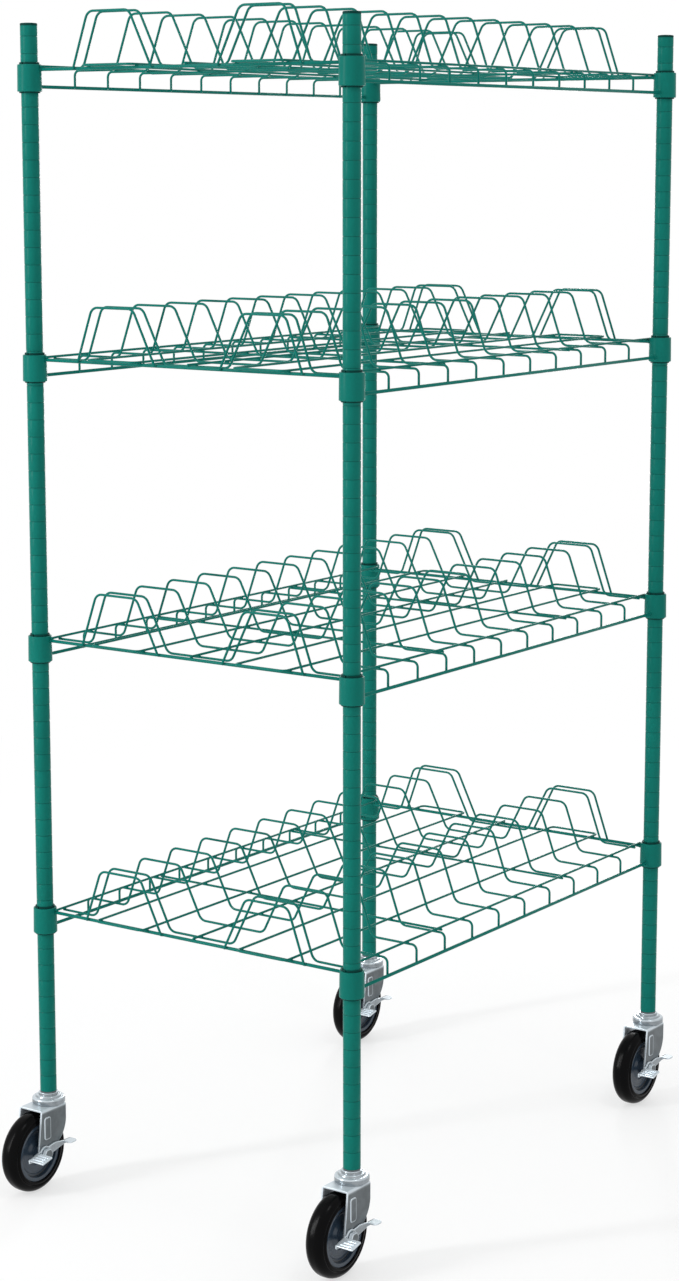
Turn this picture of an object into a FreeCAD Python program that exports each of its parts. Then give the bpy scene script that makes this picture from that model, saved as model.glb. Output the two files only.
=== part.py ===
"""Mobile wire drying rack: four grooved posts, four welded wire shelves and four braked swivel casters.

Millimetres, +Z up.  The origin is on the floor, midway between the four post axes.
+X runs along the long side of the shelves, +Y along the short side.
"""
import math
import os

import FreeCAD
import Part

# Posts
POST_SPACING_X = 878.0
POST_SPACING_Y = 573.0
POST_DIAMETER = 25.4
POST_WALL = 1.5
POST_ABOVE_TOP_SHELF = 75.0
GROOVE_PITCH = 25.4
GROOVE_WIDTH = 1.6
GROOVE_DEPTH = 0.5
CAP_THICKNESS = 4.0
CAP_EDGE_RADIUS = 1.5
CAP_SKIRT_LENGTH = 14.0
SOCKET_FLANGE = 2.0
SOCKET_LENGTH = 36.0

# Shelf levels, measured at the middle of the corner collars
SHELF_COUNT = 4
FIRST_SHELF_HEIGHT = 423.0
SHELF_PITCH = 422.5

# Corner collars and the split sleeves that wedge them on the posts
COLLAR_HEIGHT = 39.2
COLLAR_WALL = 2.7
COLLAR_EDGE_RADIUS = 1.2
SLEEVE_WALL_TOP = 2.05
SLEEVE_WALL_BOTTOM = 2.55
SLEEVE_RISE = 3.0
SLEEVE_DROP = 2.0
SLEEVE_SPLIT = 2.0
SLEEVE_ARCS = 12
RIDGE_WIDTH = 1.2

# Shelf wires
FRAME_WIRE_DIAMETER = 5.0
DECK_WIRE_DIAMETER = 3.6
CROSS_WIRE_DIAMETER = 3.6
LOWER_WIRE_DROP = 12.1
CROSS_WIRE_RISE = 12.9
CROSS_WIRE_PITCH = 76.2
END_WIRE_INSET = 4.5
END_CROSS_INSET = 18.5
MIN_END_SLOT = 50.0
BRACE_OFFSET = 12.7
LOOP_OVERHANG = 14.5
WIRE_OVERHANG = 3.0
BEND_RADIUS = 8.0
HUMP_BEND_RADIUS = 14.0
HUMP_HEIGHT = 79.7
HUMP_FOOT_INNER = 30.3
HUMP_FOOT_OUTER = 25.9
HUMP_LEAN_INNER = 40.0
HUMP_LEAN_OUTER = 29.0

# Caster wheel
WHEEL_DIAMETER = 125.0
TYRE_WIDTH = 32.0
TYRE_THICKNESS = 17.2
TYRE_SHOULDER_RADIUS = 13.5
TYRE_BEAD_RADIUS = 2.0
HUB_RIM_WIDTH = 27.0
HUB_RIM_THICKNESS = 6.0
HUB_WEB_WIDTH = 13.0
HUB_BOSS_RADIUS = 13.5
SPACER_RADIUS = 7.5

# Caster fork, measured from the swivel axis; the wheel trails towards -X
CASTER_TRAIL = 38.0
TYRE_TOP_GAP = 3.0
FORK_INNER_WIDTH = 40.0
FORK_SHEET = 3.0
FORK_FOLD_RADIUS = 4.0
FORK_FRONT = 14.0
FORK_REAR = 4.0
FORK_EYE_RADIUS = 13.0
FORK_FRONT_SLOPE = 39.0
FORK_FRONT_RADIUS = 42.0
RIB_WIDTH = 15.0
RIB_HEIGHT = 36.0
RIB_PROUD = 1.2
RIB_TOP_MARGIN = 12.0
RIB_SETBACK = 8.0

# Caster swivel
STEM_RADIUS = 6.0
STEM_LENGTH = 30.0
STEM_SHOULDER_RADIUS = 15.0
STEM_SHOULDER_HEIGHT = 4.0
RACE_RADIUS = 25.5
RACE_HEIGHT = 13.0
RACE_SKIRT = 2.5
RACE_HUB_RADIUS = 14.0
RACE_DOME_RADIUS = 3.0
BALL_DIAMETER = 6.35
BALL_COUNT = 12
KINGPIN_HEAD_RADIUS = 10.5
KINGPIN_HEAD_HEIGHT = 4.5

# Caster axle and brake lever
AXLE_RADIUS = 5.0
AXLE_FLATS = 17.0
AXLE_HEAD_HEIGHT = 6.4
AXLE_NUT_HEIGHT = 8.0
AXLE_TIP = 2.0
LEVER_SHEET = 2.5
LEVER_EYE_RADIUS = 12.5
LEVER_KNEE_REACH = 23.2
LEVER_KNEE_RISE = 12.6
PEDAL_GAP = 6.0
PEDAL_LENGTH = 22.0
PEDAL_WIDTH = 30.0
PEDAL_RISE = 6.3
PEDAL_SLOPE = 13.0
TAB_REACH = 41.2
TAB_LENGTH = 18.0
TAB_WIDTH = 16.5
TAB_RISE = 9.3
LEVER_WEB = 6.0

# Clearances
WELD_GAP = 0.03
SEAT_GAP = 0.05
WEDGE_GAP = 0.2
RUNNING_FIT = 0.05
RUNNING_GAP = 0.4

CROWN_BOTTOM = WHEEL_DIAMETER + TYRE_TOP_GAP
CROWN_TOP = CROWN_BOTTOM + FORK_SHEET
CASTER_HEIGHT = CROWN_TOP + RACE_HEIGHT + STEM_SHOULDER_HEIGHT
POST_RADIUS = POST_DIAMETER / 2
POST_BORE_RADIUS = POST_RADIUS - POST_WALL
POST_BOTTOM = CASTER_HEIGHT + SOCKET_FLANGE + SEAT_GAP
POST_TOP = FIRST_SHELF_HEIGHT + (SHELF_COUNT - 1) * SHELF_PITCH + POST_ABOVE_TOP_SHELF
POST_LENGTH = POST_TOP - POST_BOTTOM
SLEEVE_BORE_RADIUS = POST_RADIUS + SEAT_GAP

UP = FreeCAD.Vector(0, 0, 1)
ALONG_X = FreeCAD.Vector(1, 0, 0)
ALONG_Y = FreeCAD.Vector(0, 1, 0)

CORNERS = {
    "front_left": (-POST_SPACING_X / 2, -POST_SPACING_Y / 2),
    "front_right": (POST_SPACING_X / 2, -POST_SPACING_Y / 2),
    "back_left": (-POST_SPACING_X / 2, POST_SPACING_Y / 2),
    "back_right": (POST_SPACING_X / 2, POST_SPACING_Y / 2),
}


def vec(x, y, z):
    return FreeCAD.Vector(x, y, z)


def moved(shape, x, y, z=0.0):
    """A copy of the shape, shifted."""
    copy = shape.copy()
    copy.translate(vec(x, y, z))
    return copy


def prism(points, run):
    """Solid swept by a closed flat outline of 3-D points along a run vector."""
    return Part.Face(Part.makePolygon(points + points[:1])).extrude(run)


def turned(profile, angle=360.0):
    """Solid of revolution about Z of a closed (radius, height) outline."""
    points = [vec(radius, 0, height) for radius, height in profile]
    face = Part.Face(Part.makePolygon(points + points[:1]))
    return face.revolve(vec(0, 0, 0), UP, angle)


def circles_at(shape, height, radius):
    """The shape's level circular edges of that height and radius."""
    return [edge for edge in shape.Edges
            if edge.BoundBox.ZLength < 1e-3 and abs(edge.BoundBox.ZMin - height) < 1e-3
            and abs(edge.BoundBox.XLength - 2 * radius) < 1e-3]


def rod(start, end, diameter):
    """Straight round wire."""
    run = end - start
    return Part.makeCylinder(diameter / 2, run.Length, start, run)


def bent_wire(points, diameter, bends):
    """Round wire along straight runs between the points, each inner corner rounded to its bend radius."""
    edges = []
    last = points[0]
    for before, corner, after, bend in zip(points, points[1:], points[2:], bends):
        back = (before - corner).normalize()
        ahead = (after - corner).normalize()
        half_angle = back.getAngle(ahead) / 2
        reach = bend / math.tan(half_angle)
        inward = (back + ahead).normalize()
        depth = bend / math.sin(half_angle) - bend
        arc = Part.Arc(corner + back * reach, corner + inward * depth, corner + ahead * reach)
        edges.append(Part.LineSegment(last, corner + back * reach).toShape())
        edges.append(arc.toShape())
        last = corner + ahead * reach
    edges.append(Part.LineSegment(last, points[-1]).toShape())
    ring = Part.makeCircle(diameter / 2, points[0], points[1] - points[0])
    return Part.Wire(edges).makePipeShell([Part.Wire(ring)], True, False)


def bent_loop(points, diameter):
    """Closed round wire through the corner points, joined in the middle of its last run."""
    middle = (points[-1] + points[0]) * 0.5
    return bent_wire([middle] + points + [middle], diameter, [BEND_RADIUS] * len(points))


# Posts

def groove_heights():
    """Heights of the groove centres above the lower end of a post."""
    count = int((POST_LENGTH - GROOVE_WIDTH) / GROOVE_PITCH)
    return [GROOVE_PITCH * (k + 1) for k in range(count)]


def make_post():
    """Steel tube with a shallow ring groove at every step of the shelf height."""
    floor_radius = POST_RADIUS - GROOVE_DEPTH
    outline = [(POST_BORE_RADIUS, 0.0), (POST_RADIUS, 0.0)]
    for height in groove_heights():
        low = height - GROOVE_WIDTH / 2
        high = height + GROOVE_WIDTH / 2
        outline += [(POST_RADIUS, low), (floor_radius, low), (floor_radius, high), (POST_RADIUS, high)]
    outline += [(POST_RADIUS, POST_LENGTH), (POST_BORE_RADIUS, POST_LENGTH)]
    return moved(turned(outline), 0, 0, POST_BOTTOM)


def make_cap():
    """Plug in the top of a post: a round-edged lid flush with the tube, on a skirt inside it."""
    bottom = POST_TOP + SEAT_GAP
    lid = Part.makeCylinder(POST_RADIUS, CAP_THICKNESS, vec(0, 0, bottom))
    lid = lid.makeFillet(CAP_EDGE_RADIUS, circles_at(lid, bottom + CAP_THICKNESS, POST_RADIUS))
    skirt = Part.makeCylinder(POST_BORE_RADIUS - SEAT_GAP, CAP_SKIRT_LENGTH,
                              vec(0, 0, bottom - CAP_SKIRT_LENGTH))
    return lid.fuse(skirt).removeSplitter()


def make_socket():
    """Flanged insert in the foot of a post, bored for the caster stem."""
    bore = STEM_RADIUS + SEAT_GAP
    body = POST_BORE_RADIUS - SEAT_GAP
    flange_top = CASTER_HEIGHT + SOCKET_FLANGE
    top = flange_top + SOCKET_LENGTH
    return turned([(bore, CASTER_HEIGHT), (POST_RADIUS, CASTER_HEIGHT), (POST_RADIUS, flange_top),
                   (body, flange_top), (body, top), (bore, top)])


# Collars and sleeves, modelled about the post axis with the collar's middle at height 0

def sleeve_radius(height):
    """Outer radius of the tapered sleeve at a height from the collar's middle."""
    share = 0.5 - height / COLLAR_HEIGHT
    return SLEEVE_BORE_RADIUS + SLEEVE_WALL_TOP + (SLEEVE_WALL_BOTTOM - SLEEVE_WALL_TOP) * share


def collar_radius(height):
    """Outer radius of the collar at a height from its middle."""
    return sleeve_radius(height) + WEDGE_GAP + COLLAR_WALL


def make_collar():
    """Tapered steel ring at a shelf corner, with rounded outer edges."""
    top = COLLAR_HEIGHT / 2
    ring = turned([(sleeve_radius(-top) + WEDGE_GAP, -top), (collar_radius(-top), -top),
                   (collar_radius(top), top), (sleeve_radius(top) + WEDGE_GAP, top)])
    outer = circles_at(ring, -top, collar_radius(-top)) + circles_at(ring, top, collar_radius(top))
    return ring.makeFillet(COLLAR_EDGE_RADIUS, outer)


def make_sleeve(level):
    """Both halves of a split plastic sleeve, with an inner ridge in the post groove nearest the level.

    Each half is turned in short arcs, so that the thin tapered wall stays even when it is faceted.
    """
    low = -COLLAR_HEIGHT / 2 - SLEEVE_DROP
    high = COLLAR_HEIGHT / 2 + SLEEVE_RISE
    ridge = min((POST_BOTTOM + height - level for height in groove_heights()), key=abs)
    ridge_low = ridge - RIDGE_WIDTH / 2
    ridge_high = ridge + RIDGE_WIDTH / 2
    ridge_radius = POST_RADIUS - GROOVE_DEPTH + SEAT_GAP
    outline = [(SLEEVE_BORE_RADIUS, low), (sleeve_radius(low), low),
               (sleeve_radius(high), high), (SLEEVE_BORE_RADIUS, high),
               (SLEEVE_BORE_RADIUS, ridge_high), (ridge_radius, ridge_high),
               (ridge_radius, ridge_low), (SLEEVE_BORE_RADIUS, ridge_low)]
    split_angle = math.degrees(SLEEVE_SPLIT / SLEEVE_BORE_RADIUS)
    arc_angle = (180.0 - split_angle) / SLEEVE_ARCS
    halves = []
    for start in (0.0, 180.0):
        arcs = []
        for k in range(SLEEVE_ARCS):
            arc = turned(outline, arc_angle)
            arc.rotate(vec(0, 0, 0), UP, start + split_angle / 2 + k * arc_angle)
            arcs.append(arc)
        halves.append(arcs[0].fuse(arcs[1:]))
    return halves


# Shelf wires, modelled with the collars' middle at height 0

LOWER_Z = -LOWER_WIRE_DROP
CROSS_Z = CROSS_WIRE_RISE
DECK_Z = CROSS_Z + (CROSS_WIRE_DIAMETER + DECK_WIRE_DIAMETER) / 2 + WELD_GAP
END_Z = DECK_Z - (DECK_WIRE_DIAMETER + FRAME_WIRE_DIAMETER) / 2 - WELD_GAP
HUMP_TOP_Z = CROSS_Z + HUMP_HEIGHT
END_X = POST_SPACING_X / 2 - END_WIRE_INSET
END_CROSS_X = END_X - END_CROSS_INSET
END_HUMP_X = END_X + (FRAME_WIRE_DIAMETER + CROSS_WIRE_DIAMETER) / 2 + WELD_GAP
SIDE_Y = POST_SPACING_Y / 2
LONG_Y = SIDE_Y - collar_radius(-COLLAR_HEIGHT / 2) - DECK_WIRE_DIAMETER / 2 - SEAT_GAP
DECK_PITCH = LONG_Y / 3
DROP_Y = SIDE_Y - (FRAME_WIRE_DIAMETER + CROSS_WIRE_DIAMETER) / 2 - WELD_GAP
INNER_FOOT_Y = DECK_PITCH - HUMP_FOOT_INNER
INNER_TOP_Y = INNER_FOOT_Y + HUMP_LEAN_INNER
OUTER_FOOT_Y = 2 * DECK_PITCH + HUMP_FOOT_OUTER
OUTER_TOP_Y = OUTER_FOOT_Y - HUMP_LEAN_OUTER


def cross_wire_places():
    """X of the full cross wires, evenly spaced between the two end cross wires."""
    room = 2 * (END_CROSS_X - MIN_END_SLOT)
    count = int(room / CROSS_WIRE_PITCH) + 1
    return [(k - (count - 1) / 2) * CROSS_WIRE_PITCH for k in range(count)]


def make_frame_wires():
    """Heavy wires between the collars: a low one on each long side and a high one at each end."""
    lower_reach = POST_SPACING_X / 2 - collar_radius(LOWER_Z) - WELD_GAP
    nearest = END_WIRE_INSET - FRAME_WIRE_DIAMETER / 2
    seat_radius = collar_radius(END_Z - FRAME_WIRE_DIAMETER / 2)
    end_reach = SIDE_Y - math.sqrt(seat_radius ** 2 - nearest ** 2) - WELD_GAP
    wires = []
    for side in (-1, 1):
        y = side * SIDE_Y
        x = side * END_X
        wires.append(rod(vec(-lower_reach, y, LOWER_Z), vec(lower_reach, y, LOWER_Z), FRAME_WIRE_DIAMETER))
        wires.append(rod(vec(x, -end_reach, END_Z), vec(x, end_reach, END_Z), FRAME_WIRE_DIAMETER))
    return wires


def make_deck_wires():
    """Lengthwise wires on top of the cross wires: a middle one, two side ones and two closed loops."""
    reach = END_X + WIRE_OVERHANG
    loop_reach = END_X + LOOP_OVERHANG
    wires = []
    for y in (-LONG_Y, 0.0, LONG_Y):
        wires.append(rod(vec(-reach, y, DECK_Z), vec(reach, y, DECK_Z), DECK_WIRE_DIAMETER))
    for side in (-1, 1):
        near = side * DECK_PITCH
        far = side * 2 * DECK_PITCH
        corners = [vec(-loop_reach, near, DECK_Z), vec(loop_reach, near, DECK_Z),
                   vec(loop_reach, far, DECK_Z), vec(-loop_reach, far, DECK_Z)]
        wires.append(bent_loop(corners, DECK_WIRE_DIAMETER))
    return wires


def humped_wire(x, end):
    """Cross wire at x from its end corners over a hump, through the valley and over the mirrored half."""
    hump = [(OUTER_FOOT_Y, CROSS_Z), (OUTER_TOP_Y, HUMP_TOP_Z),
            (INNER_TOP_Y, HUMP_TOP_Z), (INNER_FOOT_Y, CROSS_Z)]
    half = end + hump
    front = [vec(x, -y, z) for y, z in half]
    back = [vec(x, y, z) for y, z in reversed(half)]
    end_bends = [BEND_RADIUS] * (len(end) - 1)
    bends = end_bends + [HUMP_BEND_RADIUS] * (2 * len(hump)) + end_bends
    return bent_wire(front + back, CROSS_WIRE_DIAMETER, bends)


def make_cross_wires():
    """Humped wires across the shelf: full ones turn down to the low side wires, the end pair stops short."""
    turned_down = [(DROP_Y, LOWER_Z - FRAME_WIRE_DIAMETER / 4), (DROP_Y, CROSS_Z)]
    straight = [(LONG_Y + WIRE_OVERHANG, CROSS_Z)]
    wires = [humped_wire(x, turned_down) for x in cross_wire_places()]
    wires += [humped_wire(x, straight) for x in (-END_CROSS_X, END_CROSS_X)]
    return wires


def make_end_humps():
    """Upstands that close both rows of humps at each end, against the outer side of the end wires."""
    foot_z = END_Z - FRAME_WIRE_DIAMETER / 4
    humps = []
    for x in (-END_HUMP_X, END_HUMP_X):
        for side in (-1, 1):
            points = [vec(x, side * OUTER_FOOT_Y, foot_z), vec(x, side * OUTER_TOP_Y, HUMP_TOP_Z),
                      vec(x, side * INNER_TOP_Y, HUMP_TOP_Z), vec(x, side * INNER_FOOT_Y, foot_z)]
            humps.append(bent_wire(points, CROSS_WIRE_DIAMETER, [HUMP_BEND_RADIUS] * 2))
    return humps


def make_braces():
    """Straight wires under the deck wires, beside the third cross wire from each end."""
    places = cross_wire_places()
    reach = LONG_Y + WIRE_OVERHANG
    return [rod(vec(x, -reach, CROSS_Z), vec(x, reach, CROSS_Z), CROSS_WIRE_DIAMETER)
            for x in (places[2] + BRACE_OFFSET, places[-3] - BRACE_OFFSET)]


# Casters, modelled about the post axis with the wheel trailing towards -X

AXLE_X = -CASTER_TRAIL
AXLE_Z = WHEEL_DIAMETER / 2
HUB_RADIUS = WHEEL_DIAMETER / 2 - TYRE_THICKNESS
FORK_HALF_WIDTH = FORK_INNER_WIDTH / 2 + FORK_SHEET
LEVER_FACE = FORK_HALF_WIDTH + RUNNING_GAP
LEVER_BACK = LEVER_FACE + LEVER_SHEET


def on_axle(shape):
    """The shape, modelled about Z, laid on the axle so that its +Z points to +Y."""
    laid = shape.copy()
    laid.rotate(vec(0, 0, 0), ALONG_X, -90)
    return moved(laid, AXLE_X, 0, AXLE_Z)


def axle_hole(radius):
    """Round bar along the whole axle, to cut holes with."""
    length = 4 * FORK_INNER_WIDTH
    return on_axle(Part.makeCylinder(radius, length, vec(0, 0, -length / 2)))


def make_stem():
    """Fixed part of the swivel: stem, shoulder, ball race cover and the kingpin with its riveted head."""
    race_bottom = CROWN_TOP + RUNNING_GAP
    race_ceiling = CROWN_TOP + RUNNING_GAP + BALL_DIAMETER + SEAT_GAP
    race_top = CROWN_TOP + RACE_HEIGHT
    shoulder_top = CASTER_HEIGHT - SEAT_GAP
    stem_top = CASTER_HEIGHT + STEM_LENGTH
    head_top = CROWN_BOTTOM - RUNNING_GAP
    head_bottom = head_top - KINGPIN_HEAD_HEIGHT
    skirt_radius = RACE_RADIUS - RACE_SKIRT
    body = turned([(0, head_bottom), (KINGPIN_HEAD_RADIUS, head_bottom), (KINGPIN_HEAD_RADIUS, head_top),
                   (STEM_RADIUS, head_top), (STEM_RADIUS, race_bottom), (RACE_HUB_RADIUS, race_bottom),
                   (RACE_HUB_RADIUS, race_ceiling), (skirt_radius, race_ceiling), (skirt_radius, race_bottom),
                   (RACE_RADIUS, race_bottom), (RACE_RADIUS, race_top), (STEM_SHOULDER_RADIUS, race_top),
                   (STEM_SHOULDER_RADIUS, shoulder_top), (STEM_RADIUS, shoulder_top),
                   (STEM_RADIUS, stem_top), (0, stem_top)])
    return body.makeFillet(RACE_DOME_RADIUS, circles_at(body, race_top, RACE_RADIUS))


def make_balls():
    """Ring of bearing balls between the fork crown and the race cover."""
    ring_radius = (RACE_HUB_RADIUS + RACE_RADIUS - RACE_SKIRT) / 2
    height = CROWN_TOP + RUNNING_GAP + BALL_DIAMETER / 2
    balls = []
    for k in range(BALL_COUNT):
        angle = 2 * math.pi * k / BALL_COUNT
        centre = vec(ring_radius * math.cos(angle), ring_radius * math.sin(angle), height)
        balls.append(Part.makeSphere(BALL_DIAMETER / 2, centre))
    return balls


def make_fork_blank():
    """Side shape of the fork: crown, round axle eyes and a swept front edge, solid across its width."""
    y = -FORK_HALF_WIDTH
    slope = math.radians(FORK_FRONT_SLOPE)
    along = vec(math.cos(slope), 0, math.sin(slope))
    outward = vec(math.sin(slope), 0, -math.cos(slope))
    eye = vec(AXLE_X, y, AXLE_Z)
    crown_rear = vec(AXLE_X - FORK_REAR, y, CROWN_TOP)
    crown_front = vec(FORK_FRONT, y, CROWN_TOP)
    eye_rear = eye - ALONG_X * FORK_EYE_RADIUS
    eye_front = eye + outward * FORK_EYE_RADIUS
    knee = eye_front + along * ((FORK_FRONT - eye_front.x) / along.x)
    half_turn = (math.pi / 2 - slope) / 2
    reach = FORK_FRONT_RADIUS * math.tan(half_turn)
    depth = FORK_FRONT_RADIUS / math.cos(half_turn) - FORK_FRONT_RADIUS
    inward = (UP - along).normalize()
    sweep_start = knee - along * reach
    sweep_end = knee + UP * reach
    outline = [Part.LineSegment(crown_rear, eye_rear),
               Part.Arc(eye_rear, eye - UP * FORK_EYE_RADIUS, eye_front),
               Part.LineSegment(eye_front, sweep_start),
               Part.Arc(sweep_start, knee + inward * depth, sweep_end),
               Part.LineSegment(sweep_end, crown_front),
               Part.LineSegment(crown_front, crown_rear)]
    face = Part.Face(Part.Wire([curve.toShape() for curve in outline]))
    return face.extrude(ALONG_Y * (2 * FORK_HALF_WIDTH))


def make_fork():
    """Folded sheet fork with a pressed stiffening rib on the outside of each leg."""
    rear = AXLE_X - FORK_EYE_RADIUS
    length = FORK_FRONT - rear
    outside = Part.makeBox(length, 2 * FORK_HALF_WIDTH, CROWN_TOP, vec(rear, -FORK_HALF_WIDTH, 0))
    folds = [edge for edge in outside.Edges
             if edge.BoundBox.XLength > length / 2 and edge.BoundBox.ZMin > CROWN_TOP - 1e-3]
    outside = outside.makeFillet(FORK_FOLD_RADIUS, folds)
    inside = Part.makeBox(length, FORK_INNER_WIDTH, CROWN_BOTTOM, vec(rear, -FORK_INNER_WIDTH / 2, 0))
    fork = outside.cut(inside).common(make_fork_blank())
    rib_x = AXLE_X + RIB_SETBACK - RIB_WIDTH / 2
    rib_z = CROWN_TOP - RIB_TOP_MARGIN - RIB_HEIGHT
    rib_depth = RIB_PROUD + FORK_SHEET / 2
    for y in (-FORK_HALF_WIDTH - RIB_PROUD, FORK_HALF_WIDTH - FORK_SHEET / 2):
        fork = fork.fuse(Part.makeBox(RIB_WIDTH, rib_depth, RIB_HEIGHT, vec(rib_x, y, rib_z)))
    kingpin_bottom = vec(0, 0, CROWN_BOTTOM - FORK_SHEET / 2)
    kingpin = Part.makeCylinder(STEM_RADIUS + RUNNING_FIT, 2 * FORK_SHEET, kingpin_bottom)
    return fork.cut(kingpin).cut(axle_hole(AXLE_RADIUS + SEAT_GAP)).removeSplitter()


def hexagon(flats, height, bottom):
    """Six-sided prism about Z."""
    corner = flats / math.sqrt(3)
    points = [vec(corner * math.cos(k * math.pi / 3), corner * math.sin(k * math.pi / 3), bottom)
              for k in range(6)]
    return prism(points, UP * height)


def make_axle():
    """Bolt with its head outside the brake lever, nut on the other leg and spacer tube between the legs."""
    head_face = LEVER_BACK + RUNNING_GAP
    nut_face = FORK_HALF_WIDTH + SEAT_GAP
    shank_length = head_face + nut_face + AXLE_NUT_HEIGHT + AXLE_TIP
    shank = Part.makeCylinder(AXLE_RADIUS, shank_length, vec(0, 0, -head_face))
    bolt = shank.fuse(hexagon(AXLE_FLATS, AXLE_HEAD_HEIGHT, -head_face - AXLE_HEAD_HEIGHT))
    bore = axle_hole(AXLE_RADIUS + SEAT_GAP)
    nut = on_axle(hexagon(AXLE_FLATS, AXLE_NUT_HEIGHT, nut_face)).cut(bore)
    half_length = FORK_INNER_WIDTH / 2 - SEAT_GAP
    spacer = on_axle(Part.makeCylinder(SPACER_RADIUS, 2 * half_length, vec(0, 0, -half_length))).cut(bore)
    return [on_axle(bolt.removeSplitter()), nut, spacer]


def make_hub():
    """Wheel centre: long boss on the spacer tube, thin web and a broad rim."""
    bore = SPACER_RADIUS + RUNNING_FIT
    boss = FORK_INNER_WIDTH / 2 - RUNNING_GAP
    web = HUB_WEB_WIDTH / 2
    rim = HUB_RIM_WIDTH / 2
    rim_radius = HUB_RADIUS - HUB_RIM_THICKNESS
    half = [(bore, boss), (HUB_BOSS_RADIUS, boss), (HUB_BOSS_RADIUS, web), (rim_radius, web),
            (rim_radius, rim), (HUB_RADIUS, rim)]
    mirrored = [(radius, -height) for radius, height in reversed(half)]
    return on_axle(turned(half + mirrored))


def make_tyre():
    """Solid tyre with a narrow flat tread and full shoulders, which the side wall limits."""
    half = TYRE_WIDTH / 2
    bore = HUB_RADIUS + SEAT_GAP
    tread = WHEEL_DIAMETER / 2
    ring = turned([(bore, -half), (tread, -half), (tread, half), (bore, half)])
    shoulders = circles_at(ring, -half, tread) + circles_at(ring, half, tread)
    ring = ring.makeFillet(min(TYRE_SHOULDER_RADIUS, 0.8 * (tread - bore), 0.9 * half), shoulders)
    beads = circles_at(ring, -half, bore) + circles_at(ring, half, bore)
    ring = ring.makeFillet(TYRE_BEAD_RADIUS, beads)
    return on_axle(ring)


def make_brake_lever():
    """Pressed lever on the axle bolt: an arm with an eye, a pedal behind, a release tab in front."""
    pedal_front = -AXLE_FLATS / math.sqrt(3) - PEDAL_GAP
    pedal_rear = pedal_front - PEDAL_LENGTH
    pedal_low = PEDAL_RISE - PEDAL_LENGTH * math.tan(math.radians(PEDAL_SLOPE))
    tab_front = TAB_REACH + TAB_LENGTH

    def plate(outline, width):
        points = [vec(AXLE_X + x, -LEVER_FACE, AXLE_Z + z) for x, z in outline]
        return prism(points, ALONG_Y * -width)

    def flange(rear, rear_top, front, front_top, width):
        return plate([(rear, rear_top), (front, front_top), (front, front_top - LEVER_SHEET),
                      (rear, rear_top - LEVER_SHEET)], width)

    arm = plate([(pedal_rear, pedal_low), (pedal_rear, pedal_low - LEVER_WEB), (0, -LEVER_EYE_RADIUS / 2),
                 (TAB_REACH, TAB_RISE - LEVER_WEB), (tab_front, TAB_RISE - LEVER_WEB), (tab_front, TAB_RISE),
                 (TAB_REACH, TAB_RISE), (LEVER_KNEE_REACH, LEVER_KNEE_RISE), (pedal_front, PEDAL_RISE)],
                LEVER_SHEET)
    pedal = flange(pedal_rear, pedal_low, pedal_front, PEDAL_RISE, PEDAL_WIDTH)
    tab = flange(TAB_REACH, TAB_RISE, tab_front, TAB_RISE, TAB_WIDTH)
    eye = on_axle(Part.makeCylinder(LEVER_EYE_RADIUS, LEVER_SHEET, vec(0, 0, -LEVER_BACK)))
    lever = arm.fuse([pedal, tab, eye]).removeSplitter()
    return lever.cut(axle_hole(AXLE_RADIUS + RUNNING_FIT))


def export(name, shapes):
    """Write one named piece, or one group of alike pieces, to its own file."""
    solids = [solid for shape in shapes for solid in shape.Solids]
    body = solids[0] if len(solids) == 1 else Part.makeCompound(solids)
    body.exportStep(os.path.join("parts", name + ".step"))


def at_corners(shapes, height=0.0):
    """Copies of the shapes at all four post axes."""
    return [moved(shape, x, y, height) for x, y in CORNERS.values() for shape in shapes]


def export_posts():
    post = make_post()
    for corner, (x, y) in CORNERS.items():
        export("post_" + corner, [moved(post, x, y)])
    export("post_caps", at_corners([make_cap()]))
    export("stem_sockets", at_corners([make_socket()]))


def export_shelves():
    collar = make_collar()
    wire_groups = {
        "frame_wires": make_frame_wires(),
        "deck_wires": make_deck_wires(),
        "cross_wires": make_cross_wires(),
        "end_humps": make_end_humps(),
        "braces": make_braces(),
    }
    for number in range(SHELF_COUNT):
        level = FIRST_SHELF_HEIGHT + number * SHELF_PITCH
        prefix = "shelf_%d_" % (number + 1)
        export(prefix + "collars", at_corners([collar], level))
        export(prefix + "sleeves", at_corners(make_sleeve(level), level))
        for group, wires in wire_groups.items():
            export(prefix + group, [moved(wire, 0, 0, level) for wire in wires])


def export_casters():
    pieces = {
        "stem": [make_stem()],
        "fork": [make_fork()],
        "axle": make_axle(),
        "hub": [make_hub()],
        "tyre": [make_tyre()],
        "brake_lever": [make_brake_lever()],
    }
    for corner, (x, y) in CORNERS.items():
        for piece, shapes in pieces.items():
            export("caster_%s_%s" % (corner, piece), [moved(shape, x, y) for shape in shapes])
    export("swivel_balls", at_corners(make_balls()))


os.makedirs("parts", exist_ok=True)
export_posts()
export_shelves()
export_casters()
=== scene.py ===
"""Looks of the mobile wire drying rack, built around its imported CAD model."""

import math

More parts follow.
